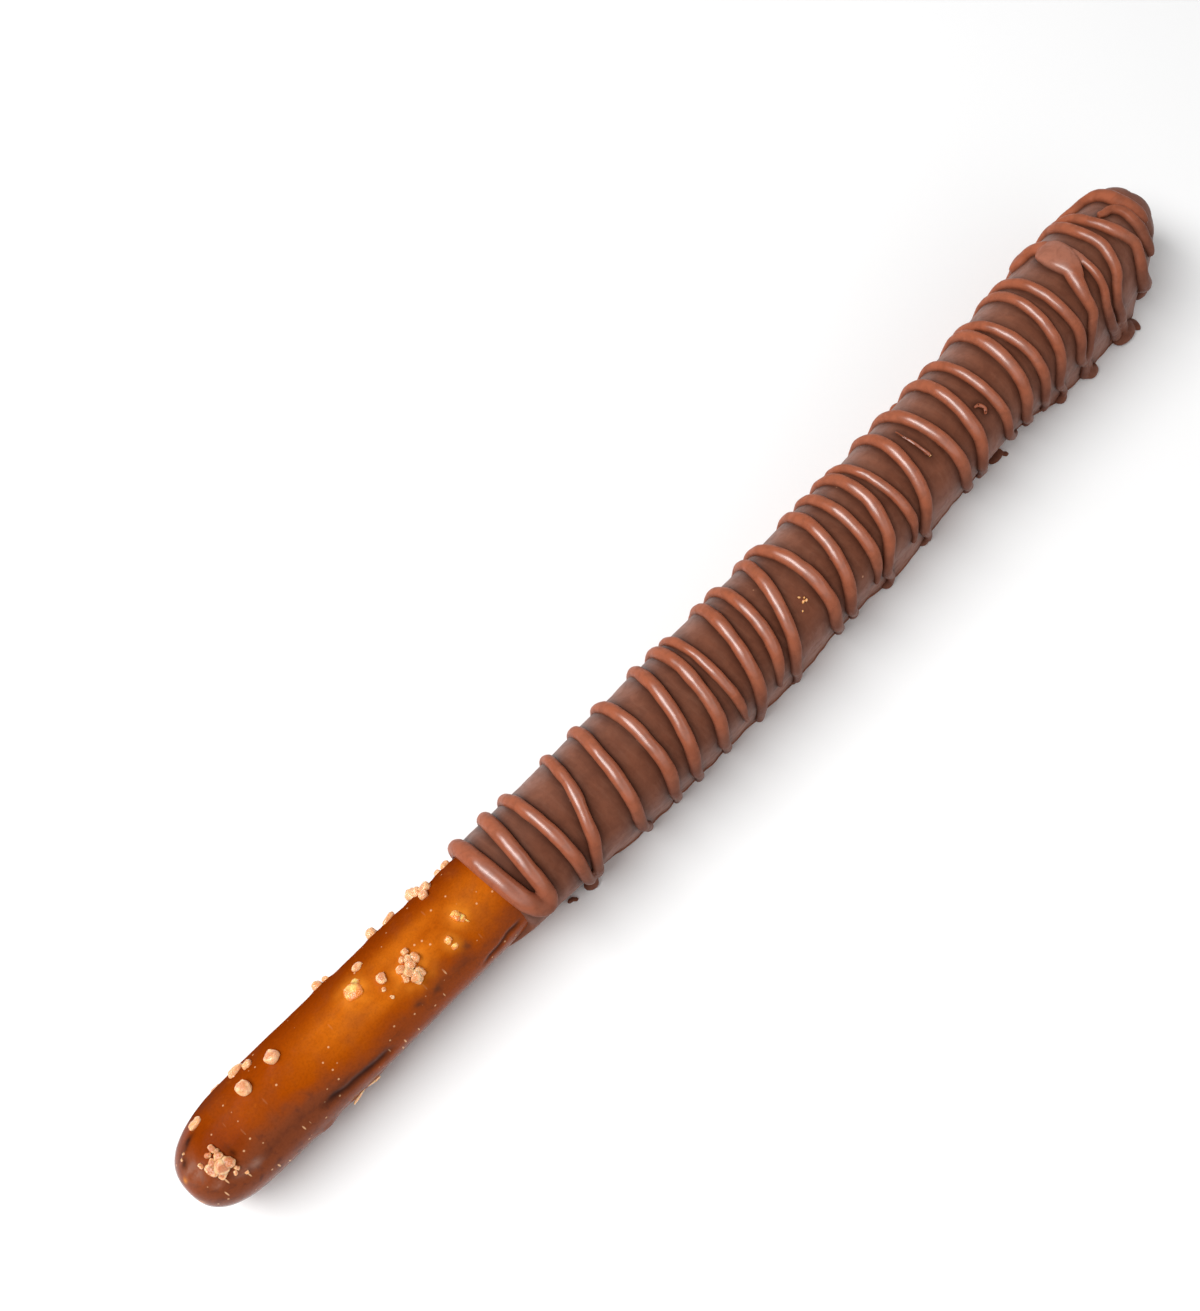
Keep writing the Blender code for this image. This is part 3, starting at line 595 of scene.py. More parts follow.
def band_node(tree, value, start, end, low=0.0, high=1.0):
    """Maps a value from start and end to low and high, eased and held outside."""
    made = add_node(tree, "ShaderNodeMapRange", {
        "Value": value, "From Min": start, "From Max": end, "To Min": low, "To Max": high},
        interpolation_type="SMOOTHSTEP")
    return made.outputs["Result"]


def blend_node(tree, share, first, second):
    """Blends two colours by a share. Each colour is a socket or three numbers."""
    first, second = (colour if isinstance(colour, bpy.types.NodeSocket) else (*colour, 1.0)
                     for colour in (first, second))
    return add_node(tree, "ShaderNodeMix", {0: share, 6: first, 7: second}, data_type="RGBA").outputs[2]


def paint(tree, colour, *layers):
    """Lays colours over a colour, one after the other, each by its share."""
    for share, layer in layers:
        colour = blend_node(tree, share, colour, layer)
    return colour


def between_node(tree, share, first, second):
    """The number that lies between two others by a share."""
    return add_node(tree, "ShaderNodeMix", {0: share, 2: first, 3: second}).outputs[0]


def math_node(tree, kind, first, second):
    """One step of arithmetic between two sockets or numbers."""
    return add_node(tree, "ShaderNodeMath", {0: first, 1: second}, operation=kind).outputs[0]


def times(tree, first, second):
    """Two sockets or numbers multiplied."""
    return math_node(tree, "MULTIPLY", first, second)


def vector_node(tree, kind, first, second=(0.0, 0.0, 0.0)):
    """One step of arithmetic with vectors: a number for a length or distance, and else a vector."""
    made = add_node(tree, "ShaderNodeVectorMath", {0: first, "Scale" if kind == "SCALE" else 1: second},
                    operation=kind)
    return made.outputs["Value" if kind in ("LENGTH", "DISTANCE") else "Vector"]


def attribute_node(tree, name):
    """A number stored on the piece's points."""
    return add_node(tree, "ShaderNodeAttribute", attribute_name=name).outputs["Fac"]


def grazing_node(tree):
    """How far the surface turns away from the line of sight, for gloss and sheen."""
    return add_node(tree, "ShaderNodeLayerWeight", {"Blend": 0.5}).outputs["Facing"]


def bump_node(tree, height, depth, before=None):
    """Bump of a height between 0 and 1, on top of an earlier bump."""
    made = add_node(tree, "ShaderNodeBump", {"Height": height, "Strength": 1.0, "Distance": depth})
    if before is not None:
        tree.links.new(before, made.inputs["Normal"])
    return made.outputs["Normal"]


# Settings

COLOUR = {"subtype": "COLOR", "size": 3, "min": 0.0, "max": 1.0}
LENGTH = {"subtype": "DISTANCE", "unit": "LENGTH", "max": MM}


class CrustSettings(bpy.types.PropertyGroup):
    """Colours and relief of the baked crust and its salt."""

    amber: bpy.props.FloatVectorProperty(
        name="Amber", description="Crust where it baked lightest", default=(0.54, 0.125, 0.005), **COLOUR)
    brown: bpy.props.FloatVectorProperty(
        name="Brown", description="Crust over most of the top", default=(0.31, 0.050, 0.0006), **COLOUR)
    # Painted shade: the crust's colour down its left side and in the shade patches
    shade: bpy.props.FloatVectorProperty(
        name="Shade", description="Deeper crust down the left side", default=(0.19, 0.026, 0.0006),
        **COLOUR)
    dusk: bpy.props.FloatVectorProperty(
        name="Dusk", description="Duller crust down the right side and round the nose",
        default=(0.19, 0.045, 0.015), **COLOUR)
    relief: bpy.props.FloatProperty(
        name="Relief", description="Height of the crust's broad unevenness", default=0.05 * MM, min=0.0,
        **LENGTH)
    # Partly a painted highlight on the grains' edges
    salt_rim_highlight: bpy.props.FloatVectorProperty(
        name="Salt Rim", description="Pale rim of the salt grains", default=linear(244, 190, 138), **COLOUR)
    salt_core: bpy.props.FloatVectorProperty(
        name="Salt Core", description="Middle of the salt grains", default=linear(214, 140, 90), **COLOUR)
    salt_roughness: bpy.props.FloatProperty(
        name="Grain Roughness", description="How far the grains' faces are uneven", default=0.2 * MM,
        min=0.0, **LENGTH)


class ChocolateSettings(bpy.types.PropertyGroup):
    """Colours and fineness of the chocolate."""

    coat: bpy.props.FloatVectorProperty(
        name="Coat", description="Chocolate of the dipped coat", default=(0.170, 0.057, 0.031), **COLOUR)
    # Painted light: the coat's colour high on its left, where the light falls
    lit_left_coat: bpy.props.FloatVectorProperty(
        name="Left Coat", description="Paler chocolate of the coat, high on its left",
        default=(0.230, 0.084, 0.048), **COLOUR)
    # Painted light: the drizzle's colour where it is lit, on top and on the left
    drizzle: bpy.props.FloatVectorProperty(
        name="Drizzle", description="Chocolate of the drizzle strands", default=(0.335, 0.096, 0.046),
        **COLOUR)
    # Painted shade: the drizzle's colour low on the right and at the tip
    shaded_drizzle: bpy.props.FloatVectorProperty(
        name="Low Drizzle", description="Chocolate of the strands low on the right and at the tip",
        default=(0.150, 0.053, 0.032), **COLOUR)
    fineness: bpy.props.FloatProperty(
        name="Fineness", description="Edge of the cells that the drizzle is fused in", default=0.19 * MM,
        min=0.15 * MM, **LENGTH)
    melt: bpy.props.IntProperty(
        name="Melt", description="Smoothing steps after fusing", default=2, min=0, max=20)


class StageSettings(bpy.types.PropertyGroup):
    """Floor and light."""

    floor: bpy.props.FloatVectorProperty(
        name="Floor", description="Colour of the floor", default=(0.92, 0.92, 0.92), **COLOUR)
    horizon: bpy.props.FloatProperty(
        name="Horizon", description="Strength of the white light from low all round", default=0.8,
        min=0.0, max=5.0)
    zenith: bpy.props.FloatProperty(
        name="Zenith", description="Strength of the white light from straight above", default=0.15,
        min=0.0, max=5.0)
    lean: bpy.props.FloatProperty(
        name="Lean", description="How much of the low light comes from the far right, not the near left",
        default=0.85, min=0.0, max=1.0)
    softbox: bpy.props.FloatProperty(
        name="Softbox", description="Power of the long lamp overhead, in watts", default=6.4,
        min=0.0, max=100.0)


# The crust

def crease_depth(station, turn):
    """How deep the crust's creases are at a place, from 0 to 1."""
    depth = 0.0
    for start, start_turn, end, end_turn, width in CREASES:
        share = (station / MM - start) / (end - start)
        if -CREASE_FADE < share < 1.0 + CREASE_FADE:
            wander = CREASE_WANDER * noise.noise(Vector((station / MM * 0.5, 3.0, SEED)))
            away = (turn - start_turn - (end_turn - start_turn) * share - wander) / width
            ends = smoothstep(-CREASE_FADE, CREASE_FADE, share)
            ends *= smoothstep(1.0 + CREASE_FADE, 1.0 - CREASE_FADE, share)
            depth = max(depth, ends * math.exp(-away * away))
    return depth


def collar(station, turn):
    """How far the crust swells round the salt grains near a place, from 0 to 1."""
    swell = 0.0
    for place, side, along, across, *_ in SALT:
        step = (station / MM - place) / (COLLAR_REACH * along)
        round_step = math.radians(turn - side) * (ROD_RADIUS / MM) / (COLLAR_REACH * across)
        distance = step * step + round_step * round_step
        if distance < 6.0:
            swell = max(swell, math.exp(-distance))
    return swell


def patch(place, turn, marks):
    """How far a place lies in any of some soft patches, each a station, turn and two half sizes."""
    return max(math.exp(-((place - mark[0]) / mark[2]) ** 2 - ((turn - mark[1]) / mark[3]) ** 2)
               for mark in marks)


def crust_tones(station, turn):
    """Shares of the crust's tones at a place, in the order of TONES."""
    place = station / MM
    wander = noise.noise(Vector((place * 0.22, turn * 0.035, SEED)))
    fleck = noise.noise(Vector((place * 0.9, turn * 0.12, SEED + 3.0)))
    amber = min(1.0, patch(place, turn, AMBER_PATCHES) * (1.0 + 0.25 * fleck) + 0.08 * wander)
    # Painted shade down the left side and in the shade patches
    shade = smoothstep(*SHADE_TURNS, turn) if turn < 0.0 else 0.0
    shade = max(shade, SHADE_PATCH_SHARE * patch(place, turn, SHADE_PATCHES))
    edge = DUSK_TURN + DUSK_TURN_RISE * smoothstep(*DUSK_RISE_STATIONS, place) + 10.0 * wander + 6.0 * fleck
    dusk = smoothstep(edge - DUSK_BLUR[0], edge + DUSK_BLUR[1], turn)
    flank = smoothstep(*FLANK_STATIONS, place + 2.0 * wander) * smoothstep(*FLANK_TURNS, turn)
    nose = smoothstep(*NOSE_DUSK_STATIONS, place + 1.5 * wander)
    belly = smoothstep(*BELLY_TURNS, abs(turn))
    dusk = max(dusk * (1.0 - FLANK_EASE * flank), NOSE_DUSK * nose, belly)
    marks = [share * patch(place, turn, places) * (1.0 + 0.8 * fleck) for share, places in PATCH_SHARES]
    return amber, shade, dusk, *[min(mark, 1.0) for mark in marks]


def crust_stations():
    """Stations of the rod's rings: fine on the bare stretch and coarse inside the coat."""
    nose = [NOSE_LENGTH * (1.0 - math.cos(math.pi / 2 * i / NOSE_RINGS)) for i in range(NOSE_RINGS)]
    bare = spread(NOSE_LENGTH, BARE_RINGS_END, BARE_RINGS)
    hidden = spread(HIDDEN_START, ROD_END - NOSE_LENGTH - MM, HIDDEN_RINGS)
    tip = [ROD_END - x for x in reversed(nose[::4])]
    return [BARE_END + x for x in (*nose, *bare)] + [*hidden, *tip]


def crust_swell(spot, station, turn, crease, relief):
    """How far the crust stands out at a place: unevenness, collars round the salt, creases, swells."""
    swell = relief * (speckle(spot, 5.0 * MM) + 0.5 * speckle(spot, 2.0 * MM, 9.0)
                      + 0.25 * speckle(spot, 0.9 * MM, 4.0))
    swell += COLLAR_HEIGHT * collar(station, turn) - CREASE_DEPTH * crease
    return swell + SWELL_HEIGHT * patch(station / MM, turn, SWELLS)


def crust_rings(relief):
    """Rings of the rod with its relief, and the creases and tones at every point of them."""
    rings, creases, tones = [], [], []
    for station in crust_stations():
        middle, radius = centre(station), rod_radius(station)
        shown = 1.0 - smoothstep(*RELIEF_END, station)
        fade = shown * smoothstep(0.0, 2.0 * MM, radius)
        ring = []
        for i in range(CRUST_SIDES):
            turn = 360.0 * i / CRUST_SIDES - 180.0
            crease = crease_depth(station, turn)
            creases.append(crease)
            tones.append(crust_tones(station, turn))
            way = outward(turn)
            spot = middle + radius * way
            swell = crust_swell(spot, station, turn, crease, relief) if fade > 0.0 else 0.0
            ring.append(spot + fade * swell * way)
        rings.append(ring)
    return rings, creases, tones


def dots_node(tree, place, stretch, cell, width, rate):
    """Small scattered spots of a material: one at most in each cell, and only in some of the cells."""
    longer = add_node(tree, "ShaderNodeMapping", {"Vector": place, "Scale": stretch}).outputs[0]
    cells = add_node(tree, "ShaderNodeTexVoronoi", {"Vector": longer, "Scale": 1.0 / cell})
    spot = band_node(tree, cells.outputs["Distance"], 0.6 * width / cell, width / cell, 1.0, 0.0)
    lot = add_node(tree, "ShaderNodeSeparateColor", {0: cells.outputs["Color"]}).outputs[0]
    return times(tree, spot, math_node(tree, "LESS_THAN", lot, rate))


def crust_material(settings):
    """Baked crust: amber and brown on top, with painted shade down the left, dull at the right, under a
    glaze.
    """
    material, tree, shader = new_material("baked_crust")
    place = place_node(tree)
    broad = lumps_node(tree, place, 4.0 * MM, 3.0, 0.55, 0.4)
    fine = lumps_node(tree, place, 1.4 * MM, 4.0, 0.6, 0.3)
    grain = lumps_node(tree, place, 0.3 * MM, 3.0, 0.6)
    amber, shade, dusk, dark_spots_and_shadow, glow, dust_and_sheen, scuff_and_shadow, crease = (
        attribute_node(tree, name) for name in (*TONES, "crease"))
    dots = dots_node(tree, place, (1.0, 1.0, 1.0), 1.4 * MM, 0.17 * MM, 0.55)
    streaks = dots_node(tree, place, (1.0, 0.22, 0.22), 1.0 * MM, 0.13 * MM, 0.42)
    streaks = times(tree, streaks, band_node(tree, dusk, 0.1, 0.5, 0.06, 0.7))
    specks = math_node(tree, "MAXIMUM", times(tree, dots, 0.55), streaks)
    colour = paint(
        tree, settings.brown,
        (amber, settings.amber),
        # Painted shade down the left side and in the shade patches
        (shade, settings.shade),
        (dusk, settings.dusk),
        (band_node(tree, broad, 0.45, 0.8, 0.0, 0.35), settings.dusk),
        (band_node(tree, fine, 0.55, 0.8, 0.0, 0.22), settings.amber),
        (band_node(tree, grain, 0.4, 0.7, 0.0, 0.16), PORE),
        (times(tree, band_node(tree, fine, 0.5, 0.72, 0.0, 0.7), dusk), RUST),
        # Scuffs, and painted shadow beside the crease and along the top left edge
        (times(tree, scuff_and_shadow, band_node(tree, fine, 0.3, 0.6, 0.35, 1.0)), SCUFF_AND_SHADOW),
        # Dust, partly a painted grey sheen round the nose
        (times(tree, dust_and_sheen, band_node(tree, fine, 0.35, 0.6, 0.3, 1.0)), DUST_AND_SHEEN),
        # Dark spots at the nose, and a painted shadow beside the first salt cluster
        (dark_spots_and_shadow, DARK_SPOT_AND_SHADOW),
        (glow, GLOW),
        (specks, SALT_SPECK),
        # Painted shade in the creases
        (times(tree, crease, 0.85), CREASE_SHADE))
    tree.links.new(colour, shader.inputs["Base Color"])
    tree.links.new(band_node(tree, fine, 0.35, 0.75, 0.17, 0.27), shader.inputs["Roughness"])
    grazing = grazing_node(tree)
    level = between_node(tree, dusk, band_node(tree, grazing, 0.15, 0.5, 0.012, 0.0),
                         band_node(tree, grazing, 0.2, 0.8, 0.02, 0.12))
    tree.links.new(level, shader.inputs["Specular IOR Level"])
    normal = bump_node(tree, fine, 0.03 * MM)
    normal = bump_node(tree, grain, 0.008 * MM, normal)
    normal = bump_node(tree, specks, 0.04 * MM, normal)
    tree.links.new(normal, shader.inputs["Normal"])
    return material


class PRETZEL_OT_crust(bpy.types.Operator):
    """Bakes the rod: its crust with the relief round the salt."""

    bl_idname = "pretzel.crust"
    bl_label = "Baked Crust"

    def execute(self, context):
        settings = context.scene.pretzel_crust
        rings, creases, tones = crust_rings(settings.relief)
        mesh = skin("crust", rings)
        set_points(mesh, "crease", "FLOAT", creases + [0.0, 0.0])
        for number, name in enumerate(TONES):
            set_points(mesh, name, "FLOAT", [tone[number] for tone in tones] + [0.0, 0.0])
        mesh.materials.append(crust_material(settings))
        mesh.shade_smooth()
        keep_piece(link("crust", mesh), "pretzel_rod")
        return {"FINISHED"}


# The salt

def salt_grains():
    """Middle, size, turning and goldenness of every grain of salt and every golden crumb."""
    random = np.random.default_rng(SEED)
    grains = [(*row, LOOSE_TWIST) for row in SALT]
    for (station, turn, gold), members in CLUSTERS:
        for step, round_step, *sizes in members:
            degrees = math.degrees(round_step * MM / ROD_RADIUS)
            grains.append((station + step, turn + degrees, *sizes, gold, CLUSTER_TWIST))
    places, sizes, spins, golds = [], [], [], []
    for station, turn, along, across, height, gold, twist in grains:
        where = station * MM
        rise = rod_radius(where) + height * MM * (0.5 - SALT_SINK - GOLD_SINK * max(gold, 0.0))
        places.append(centre(where) + rise * outward(turn))
        sizes.append((along * MM, across * MM, height * MM))
        golds.append(gold)
        lean = Euler([random.uniform(-reach, reach) for reach in (GRAIN_LEAN, GRAIN_LEAN, twist)])
        spins.append((Euler((math.radians(turn), 0.0, 0.0)).to_matrix() @ lean.to_matrix()).to_euler())
    for station, turn, size in CRUMBS:
        places.append(coat_point(station * MM, turn, 0.25 * size * MM))
        sizes.append((size * MM, size * random.uniform(0.6, 1.2) * MM, 0.8 * size * MM))
        golds.append(CRUMB_GOLD)
        spins.append(Euler([random.uniform(-1.0, 1.0) for _ in range(3)]))
    return places, sizes, spins, golds


def salt_tree(material):
    """Sets a rounded, rough crystal on every point, by the point's own size and spin. Its rim is marked."""
    tree = new_tree("salt_grains", {"Roundness": "NodeSocketFloat", "Roughness": "NodeSocketFloat",
                                    "Lump": "NodeSocketFloat"})
    given = add_node(tree, "NodeGroupInput").outputs
    cube = add_node(tree, "GeometryNodeMeshCube", {
        "Size": (1.0, 1.0, 1.0), "Vertices X": 7, "Vertices Y": 7, "Vertices Z": 7})
    place = add_node(tree, "GeometryNodeInputPosition").outputs[0]
    ball = vector_node(tree, "SCALE", vector_node(tree, "NORMALIZE", place), 0.56)
    rounded = add_node(tree, "ShaderNodeMix", {0: given["Roundness"], 4: place, 5: ball},
                       data_type="VECTOR")
    crystal = geometry_step(tree, "GeometryNodeSetPosition", cube.outputs["Mesh"], {
        "Position": rounded.outputs[1]})
    from_middle = vector_node(tree, "MULTIPLY", place, (2.0, 2.0, 0.0))
    crystal = store_step(tree, crystal, "rim", vector_node(tree, "LENGTH", from_middle), "POINT")
    rotation = add_node(tree, "FunctionNodeEulerToRotation", {
        "Euler": stored_node(tree, "spin", "FLOAT_VECTOR")})
    grains = add_node(tree, "GeometryNodeInstanceOnPoints", {
        "Points": given["Geometry"], "Instance": crystal, "Rotation": rotation.outputs["Rotation"],
        "Scale": stored_node(tree, "size", "FLOAT_VECTOR")})
    real = geometry_step(tree, "GeometryNodeRealizeInstances", grains.outputs["Instances"])
    rough = uneven_step(tree, real, given["Lump"], times(tree, given["Roughness"], 3.0), 3.0, 0.6)
    return end_tree(tree, geometry_step(tree, "GeometryNodeSetShadeSmooth", rough), material)


def salt_material(settings):
    """Coarse salt: clear and peach inside with a pale rim, partly painted highlight, or golden in the
    crust.
    """
    material, tree, shader = new_material(
        "coarse_salt", subsurface_weight=0.45, subsurface_radius=(1.0, 0.6, 0.35),
        subsurface_scale=0.6 * MM, ior=1.5, specular_ior_level=0.9)
    place = place_node(tree)
    cloud = lumps_node(tree, place, 0.8 * MM, 3.0, 0.6)
    fine = lumps_node(tree, place, 0.2 * MM, 3.0, 0.6)
    rim = math_node(tree, "ADD", attribute_node(tree, "rim"), band_node(tree, cloud, 0.3, 0.7, -0.4, 0.4))
    gold = attribute_node(tree, "gold")
    dull = times(tree, band_node(tree, gold, 0.0, -1.0), band_node(tree, rim, 1.2, 0.4))
    golden = blend_node(tree, band_node(tree, rim, 0.2, 1.0), GOLD_CORE, GOLD_RIM)
    # The pale rim is partly a painted highlight
    colour = paint(tree, settings.salt_core, (band_node(tree, rim, 0.35, 1.05), settings.salt_rim_highlight),
                   (dull, DULL_SALT), (gold, golden))
    tree.links.new(colour, shader.inputs["Base Color"])
    tree.links.new(band_node(tree, fine, 0.3, 0.7, 0.12, 0.3), shader.inputs["Roughness"])
    normal = bump_node(tree, cloud, 0.12 * MM)
    tree.links.new(bump_node(tree, fine, 0.07 * MM, normal), shader.inputs["Normal"])
    return material


class PRETZEL_OT_salt(bpy.types.Operator):
    """Strews the coarse salt over the bare end."""

    bl_idname = "pretzel.salt"
    bl_label = "Coarse Salt"

    def execute(self, context):
        settings = context.scene.pretzel_crust
        places, sizes, spins, golds = salt_grains()
        mesh = bpy.data.meshes.new("salt")
        mesh.from_pydata([tuple(place) for place in places], [], [])
        set_points(mesh, "size", "FLOAT_VECTOR", sizes)
        set_points(mesh, "spin", "FLOAT_VECTOR", [tuple(spin) for spin in spins])
        set_points(mesh, "gold", "FLOAT", golds)
        tree = salt_tree(salt_material(settings))
        salt = run_tree(link("salt", mesh), tree, {
            "Roundness": SALT_ROUNDNESS, "Roughness": settings.salt_roughness, "Lump": SALT_LUMP})
        keep_piece(salt, None)
        return {"FINISHED"}


# The chocolate

def rim_point(station, turn):
    """Side distance and height of the coat's thin rim at the table, curling in under the coat."""
    side, _ = wall_point(station, math.copysign(WALL_END, turn))
    angle = math.radians((abs(turn) - WALL_END) / (180.0 - WALL_END) * 360.0)
    if angle > RIM_CURL:
        return side - RIM_BULGE, 0.0
    return side + RIM_BULGE * math.sin(angle), FOOT_HEIGHT * max(0.0, math.cos(angle * 0.55))


def coat_turns():
    """Turns of one ring of the coat: even over the top and the wall, closer at the rim."""
    right = [*spread(0.0, ROUND_TURN, 26)[1:], *spread(ROUND_TURN, WALL_END, 13)[1:],
             147.0, 149.5, 152.0, 155.0, 158.0, 162.5]
    return [0.0, *right, 180.0, *[-turn for turn in reversed(right)]]


def coat_ring(station, turns):
    """One ring of the coat: round over the top, down the walls at both sides, flat below."""
    radius = along_profile(COAT_RADIUS, station)
    clear_of_table = smoothstep(*NUB_STATIONS, station)
    fade = 1.0 - smoothstep(DIP_STATION, DIP_STATION + SKIRT_FADE, station)
    ring = []
    for turn in turns:
        ahead = SKIRT_RIGHT if turn > 0 else SKIRT_LEFT
        runny = fade * smoothstep(*SKIRT_TURNS, abs(turn))
        place = station - runny * ahead
        way = outward(turn)
        spot = centre(place) + radius * way
        lumpy = 0.10 * MM * speckle(spot, 4.0 * MM, 2.0) + 0.05 * MM * speckle(spot, 1.5 * MM, 5.0)
        lumpy *= 1.0 + 1.5 * smoothstep(*LUMPY_TIP, station)
        point = spot + (lumpy - runny * SKIRT_THINNING) * way
        if abs(turn) > ROUND_TURN:
            middle = centre(place)
            if abs(turn) < WALL_END:
                side, height = wall_point(station, turn)
                side += lumpy - runny * SKIRT_THINNING
            else:
                side, height = rim_point(station, turn) if abs(turn) < 180.0 else (0.0, 0.0)
            footed = Vector((middle.x, middle.y - math.copysign(side, turn), height))
            point = footed.lerp(point, clear_of_table)
        ring.append(point)
    return ring


def coat_mesh():
    """The dipped coat before the drizzle, solid from end to end."""
    lip = [49.6, 49.7, 49.8, 49.9, 50.0, 50.15, 50.3, 50.6, 50.9]
    body = spread(51.4, 182.0, 218)
    tip = [182.5 + 9.7 * math.sin(step) for step in spread(0.0, math.pi / 2, 26)]
    turns = coat_turns()
    return skin("coat", [coat_ring(station * MM, turns) for station in (*lip, *body, *tip)])


def strand_station(left, crest, right, turn):
    """Station of a strand at a turn, from where it passes the left side, the crest and the right side."""
    across = math.sin(math.radians(turn))
    return crest + (right - left) / 2 * across + ((right + left) / 2 - crest) * across**2


def strand_lift(turn):
    """How far a strand's middle stands off the coat: on the left side it has sunk in further."""
    return STRAND_LIFT + (LEFT_STRAND_LIFT - STRAND_LIFT) * smoothstep(*LEFT_TURNS, turn)


def strand_route(strand):
    """Points and radii of one strand, from the foot on the left over the crest to its right end."""
    left, crest, right, toe, reach, width, hook = strand
    radius = width / 2 * MM
    last_turn = STRAND_FALL if reach else THIN_END_TURN
    points, radii = [], []
    for turn in spread(-STRAND_FALL, last_turn, STRAND_POINTS):
        sway = 0.12 * noise.noise(Vector((crest, turn / 28.0, SEED)))
        station = strand_station(left, crest, right, min(max(turn, -90.0), 90.0))
        station += sway - hook * smoothstep(40.0, 80.0, turn)
        station += (toe - station) * smoothstep(72.0, 134.0 if reach else 96.0, turn)
        swell = 1.0 + 0.10 * noise.noise(Vector((crest, turn / 22.0, SEED + 5)))
        swell *= 1.0 - (0.3 if reach else 0.5) * smoothstep(45.0, last_turn, turn)
        swell *= 1.0 - 0.08 * smoothstep(*LEFT_TURNS, turn)
        points.append(coat_point(station * MM, turn, strand_lift(turn)))
        radii.append(radius * swell)
    if reach:
        land(points, radii, toe, reach)
    return points, radii


def land(points, radii, toe, reach):
    """Leads a strand from low on the coat's wall out to its toe at the table, where it stands out."""
    radius = radii[-1]
    end = foot_point(toe * MM, reach * MM - 0.8 * radius, 0.6 * radius)
    if end.y < points[-1].y:
        points.append(points[-1].lerp(end, 0.5))
        points.append(end)
        radii += [radius, radius * 0.9]


def wanderer_route(wanderer):
    """Points and radii of a strand that wanders, smoothed through its own points."""
    toe, route = wanderer
    points, radii = [], []
    for i in range(len(route) - 1):
        around = [route[max(i - 1, 0)], route[i], route[i + 1], route[min(i + 2, len(route) - 1)]]
        for share in (0.0, 0.25, 0.5, 0.75):
            weights = (-share + 2 * share**2 - share**3, 2 - 5 * share**2 + 3 * share**3,
                       share + 4 * share**2 - 3 * share**3, share**3 - share**2)
            station, turn, width = (sum(w * place[k] for w, place in zip(weights, around)) / 2
                                    for k in range(3))
            points.append(coat_point(station * MM, turn, strand_lift(turn)))
            radii.append(width / 2 * MM)
    station, turn, width = route[-1]
    points.append(coat_point(station * MM, turn, strand_lift(turn)))
    radii.append(width / 2 * MM)
    if toe:
        land(points, radii, *toe)
    return points, radii


def strand_tree(material):
    """Turns routes into round cords, each point with its own thickness, and with uneven sides."""
    tree = new_tree("drizzle_strands", {"Sides": "NodeSocketInt", "Unevenness": "NodeSocketFloat",
                                        "Lump": "NodeSocketFloat"})
    given = add_node(tree, "NodeGroupInput").outputs
    curve = add_node(tree, "GeometryNodeMeshToCurve", {"Mesh": given["Geometry"]})
    circle = add_node(tree, "GeometryNodeCurvePrimitiveCircle", {
        "Resolution": given["Sides"], "Radius": 1.0})
    cords = add_node(tree, "GeometryNodeCurveToMesh", {
        "Curve": curve.outputs["Curve"], "Profile Curve": circle.outputs["Curve"],
        "Scale": stored_node(tree, "thickness"), "Fill Caps": True})
    uneven = uneven_step(tree, cords.outputs["Mesh"], given["Lump"], given["Unevenness"], 1.0)
    return end_tree(tree, uneven, material)


def routes_mesh(routes):
    """One mesh of edges along all the routes, with each point's thickness."""
    points, edges, thickness = [], [], []
    for places, radii in routes:
        first = len(points)
        points += [tuple(place) for place in places]
        edges += [(i, i + 1) for i in range(first, len(points) - 1)]
        thickness += radii
    mesh = bpy.data.meshes.new("routes")
    mesh.from_pydata(points, edges, [])
    set_points(mesh, "thickness", "FLOAT", thickness)
    return mesh


def lump_mesh(name, place, flatness):
    """A lumpy egg whose every point is set by a function of its place in a ball of radius 1."""
    mesh = bpy.data.meshes.new(name)
    bm = bmesh.new()
    bmesh.ops.create_icosphere(bm, subdivisions=4, radius=1.0)
    for vertex in bm.verts:
        along, across, height = vertex.co
        height = math.copysign(abs(height) ** flatness, height)
        rough = 1.0 + 0.08 * noise.noise(vertex.co * 1.7 + place(0.0, 0.0, 0.0) * 900.0)
        vertex.co = place(along * rough, across * rough, height * rough)
    bmesh.ops.recalc_face_normals(bm, faces=bm.faces)
    bm.to_mesh(mesh)
    bm.free()
    return mesh


def lump_on_coat(station, turn, lift, along, across, height, spin, taper):
    """A function that sets a ball's points round a place on the coat, following its curve."""
    cosine, sine = math.cos(math.radians(spin)), math.sin(math.radians(spin))

    def place(x, y, z):
        step, round_step = x * along * (1.0 - taper * y), y * across
        step, round_step = step * cosine - round_step * sine, step * sine + round_step * cosine
        radius = along_profile(COAT_RADIUS, station * MM) / MM
        return coat_point((station + step) * MM, turn + math.degrees(round_step / radius),
                          (lift + z * height) * MM)

    return place


def toe_at_table(station, reach, height, along, across, thick):
    """A function that sets a ball's points round a place at the table."""

    def place(x, y, z):
        return foot_point((station + x * along) * MM, (reach + y * across) * MM, (height + z * thick) * MM)

    return place


def join_meshes(name, meshes):
    """One mesh holding the faces of several, not fused."""
    bm = bmesh.new()
    for mesh in meshes:
        bm.from_mesh(mesh)
    joined = bpy.data.meshes.new(name)
    bm.to_mesh(joined)
    bm.free()
    return joined


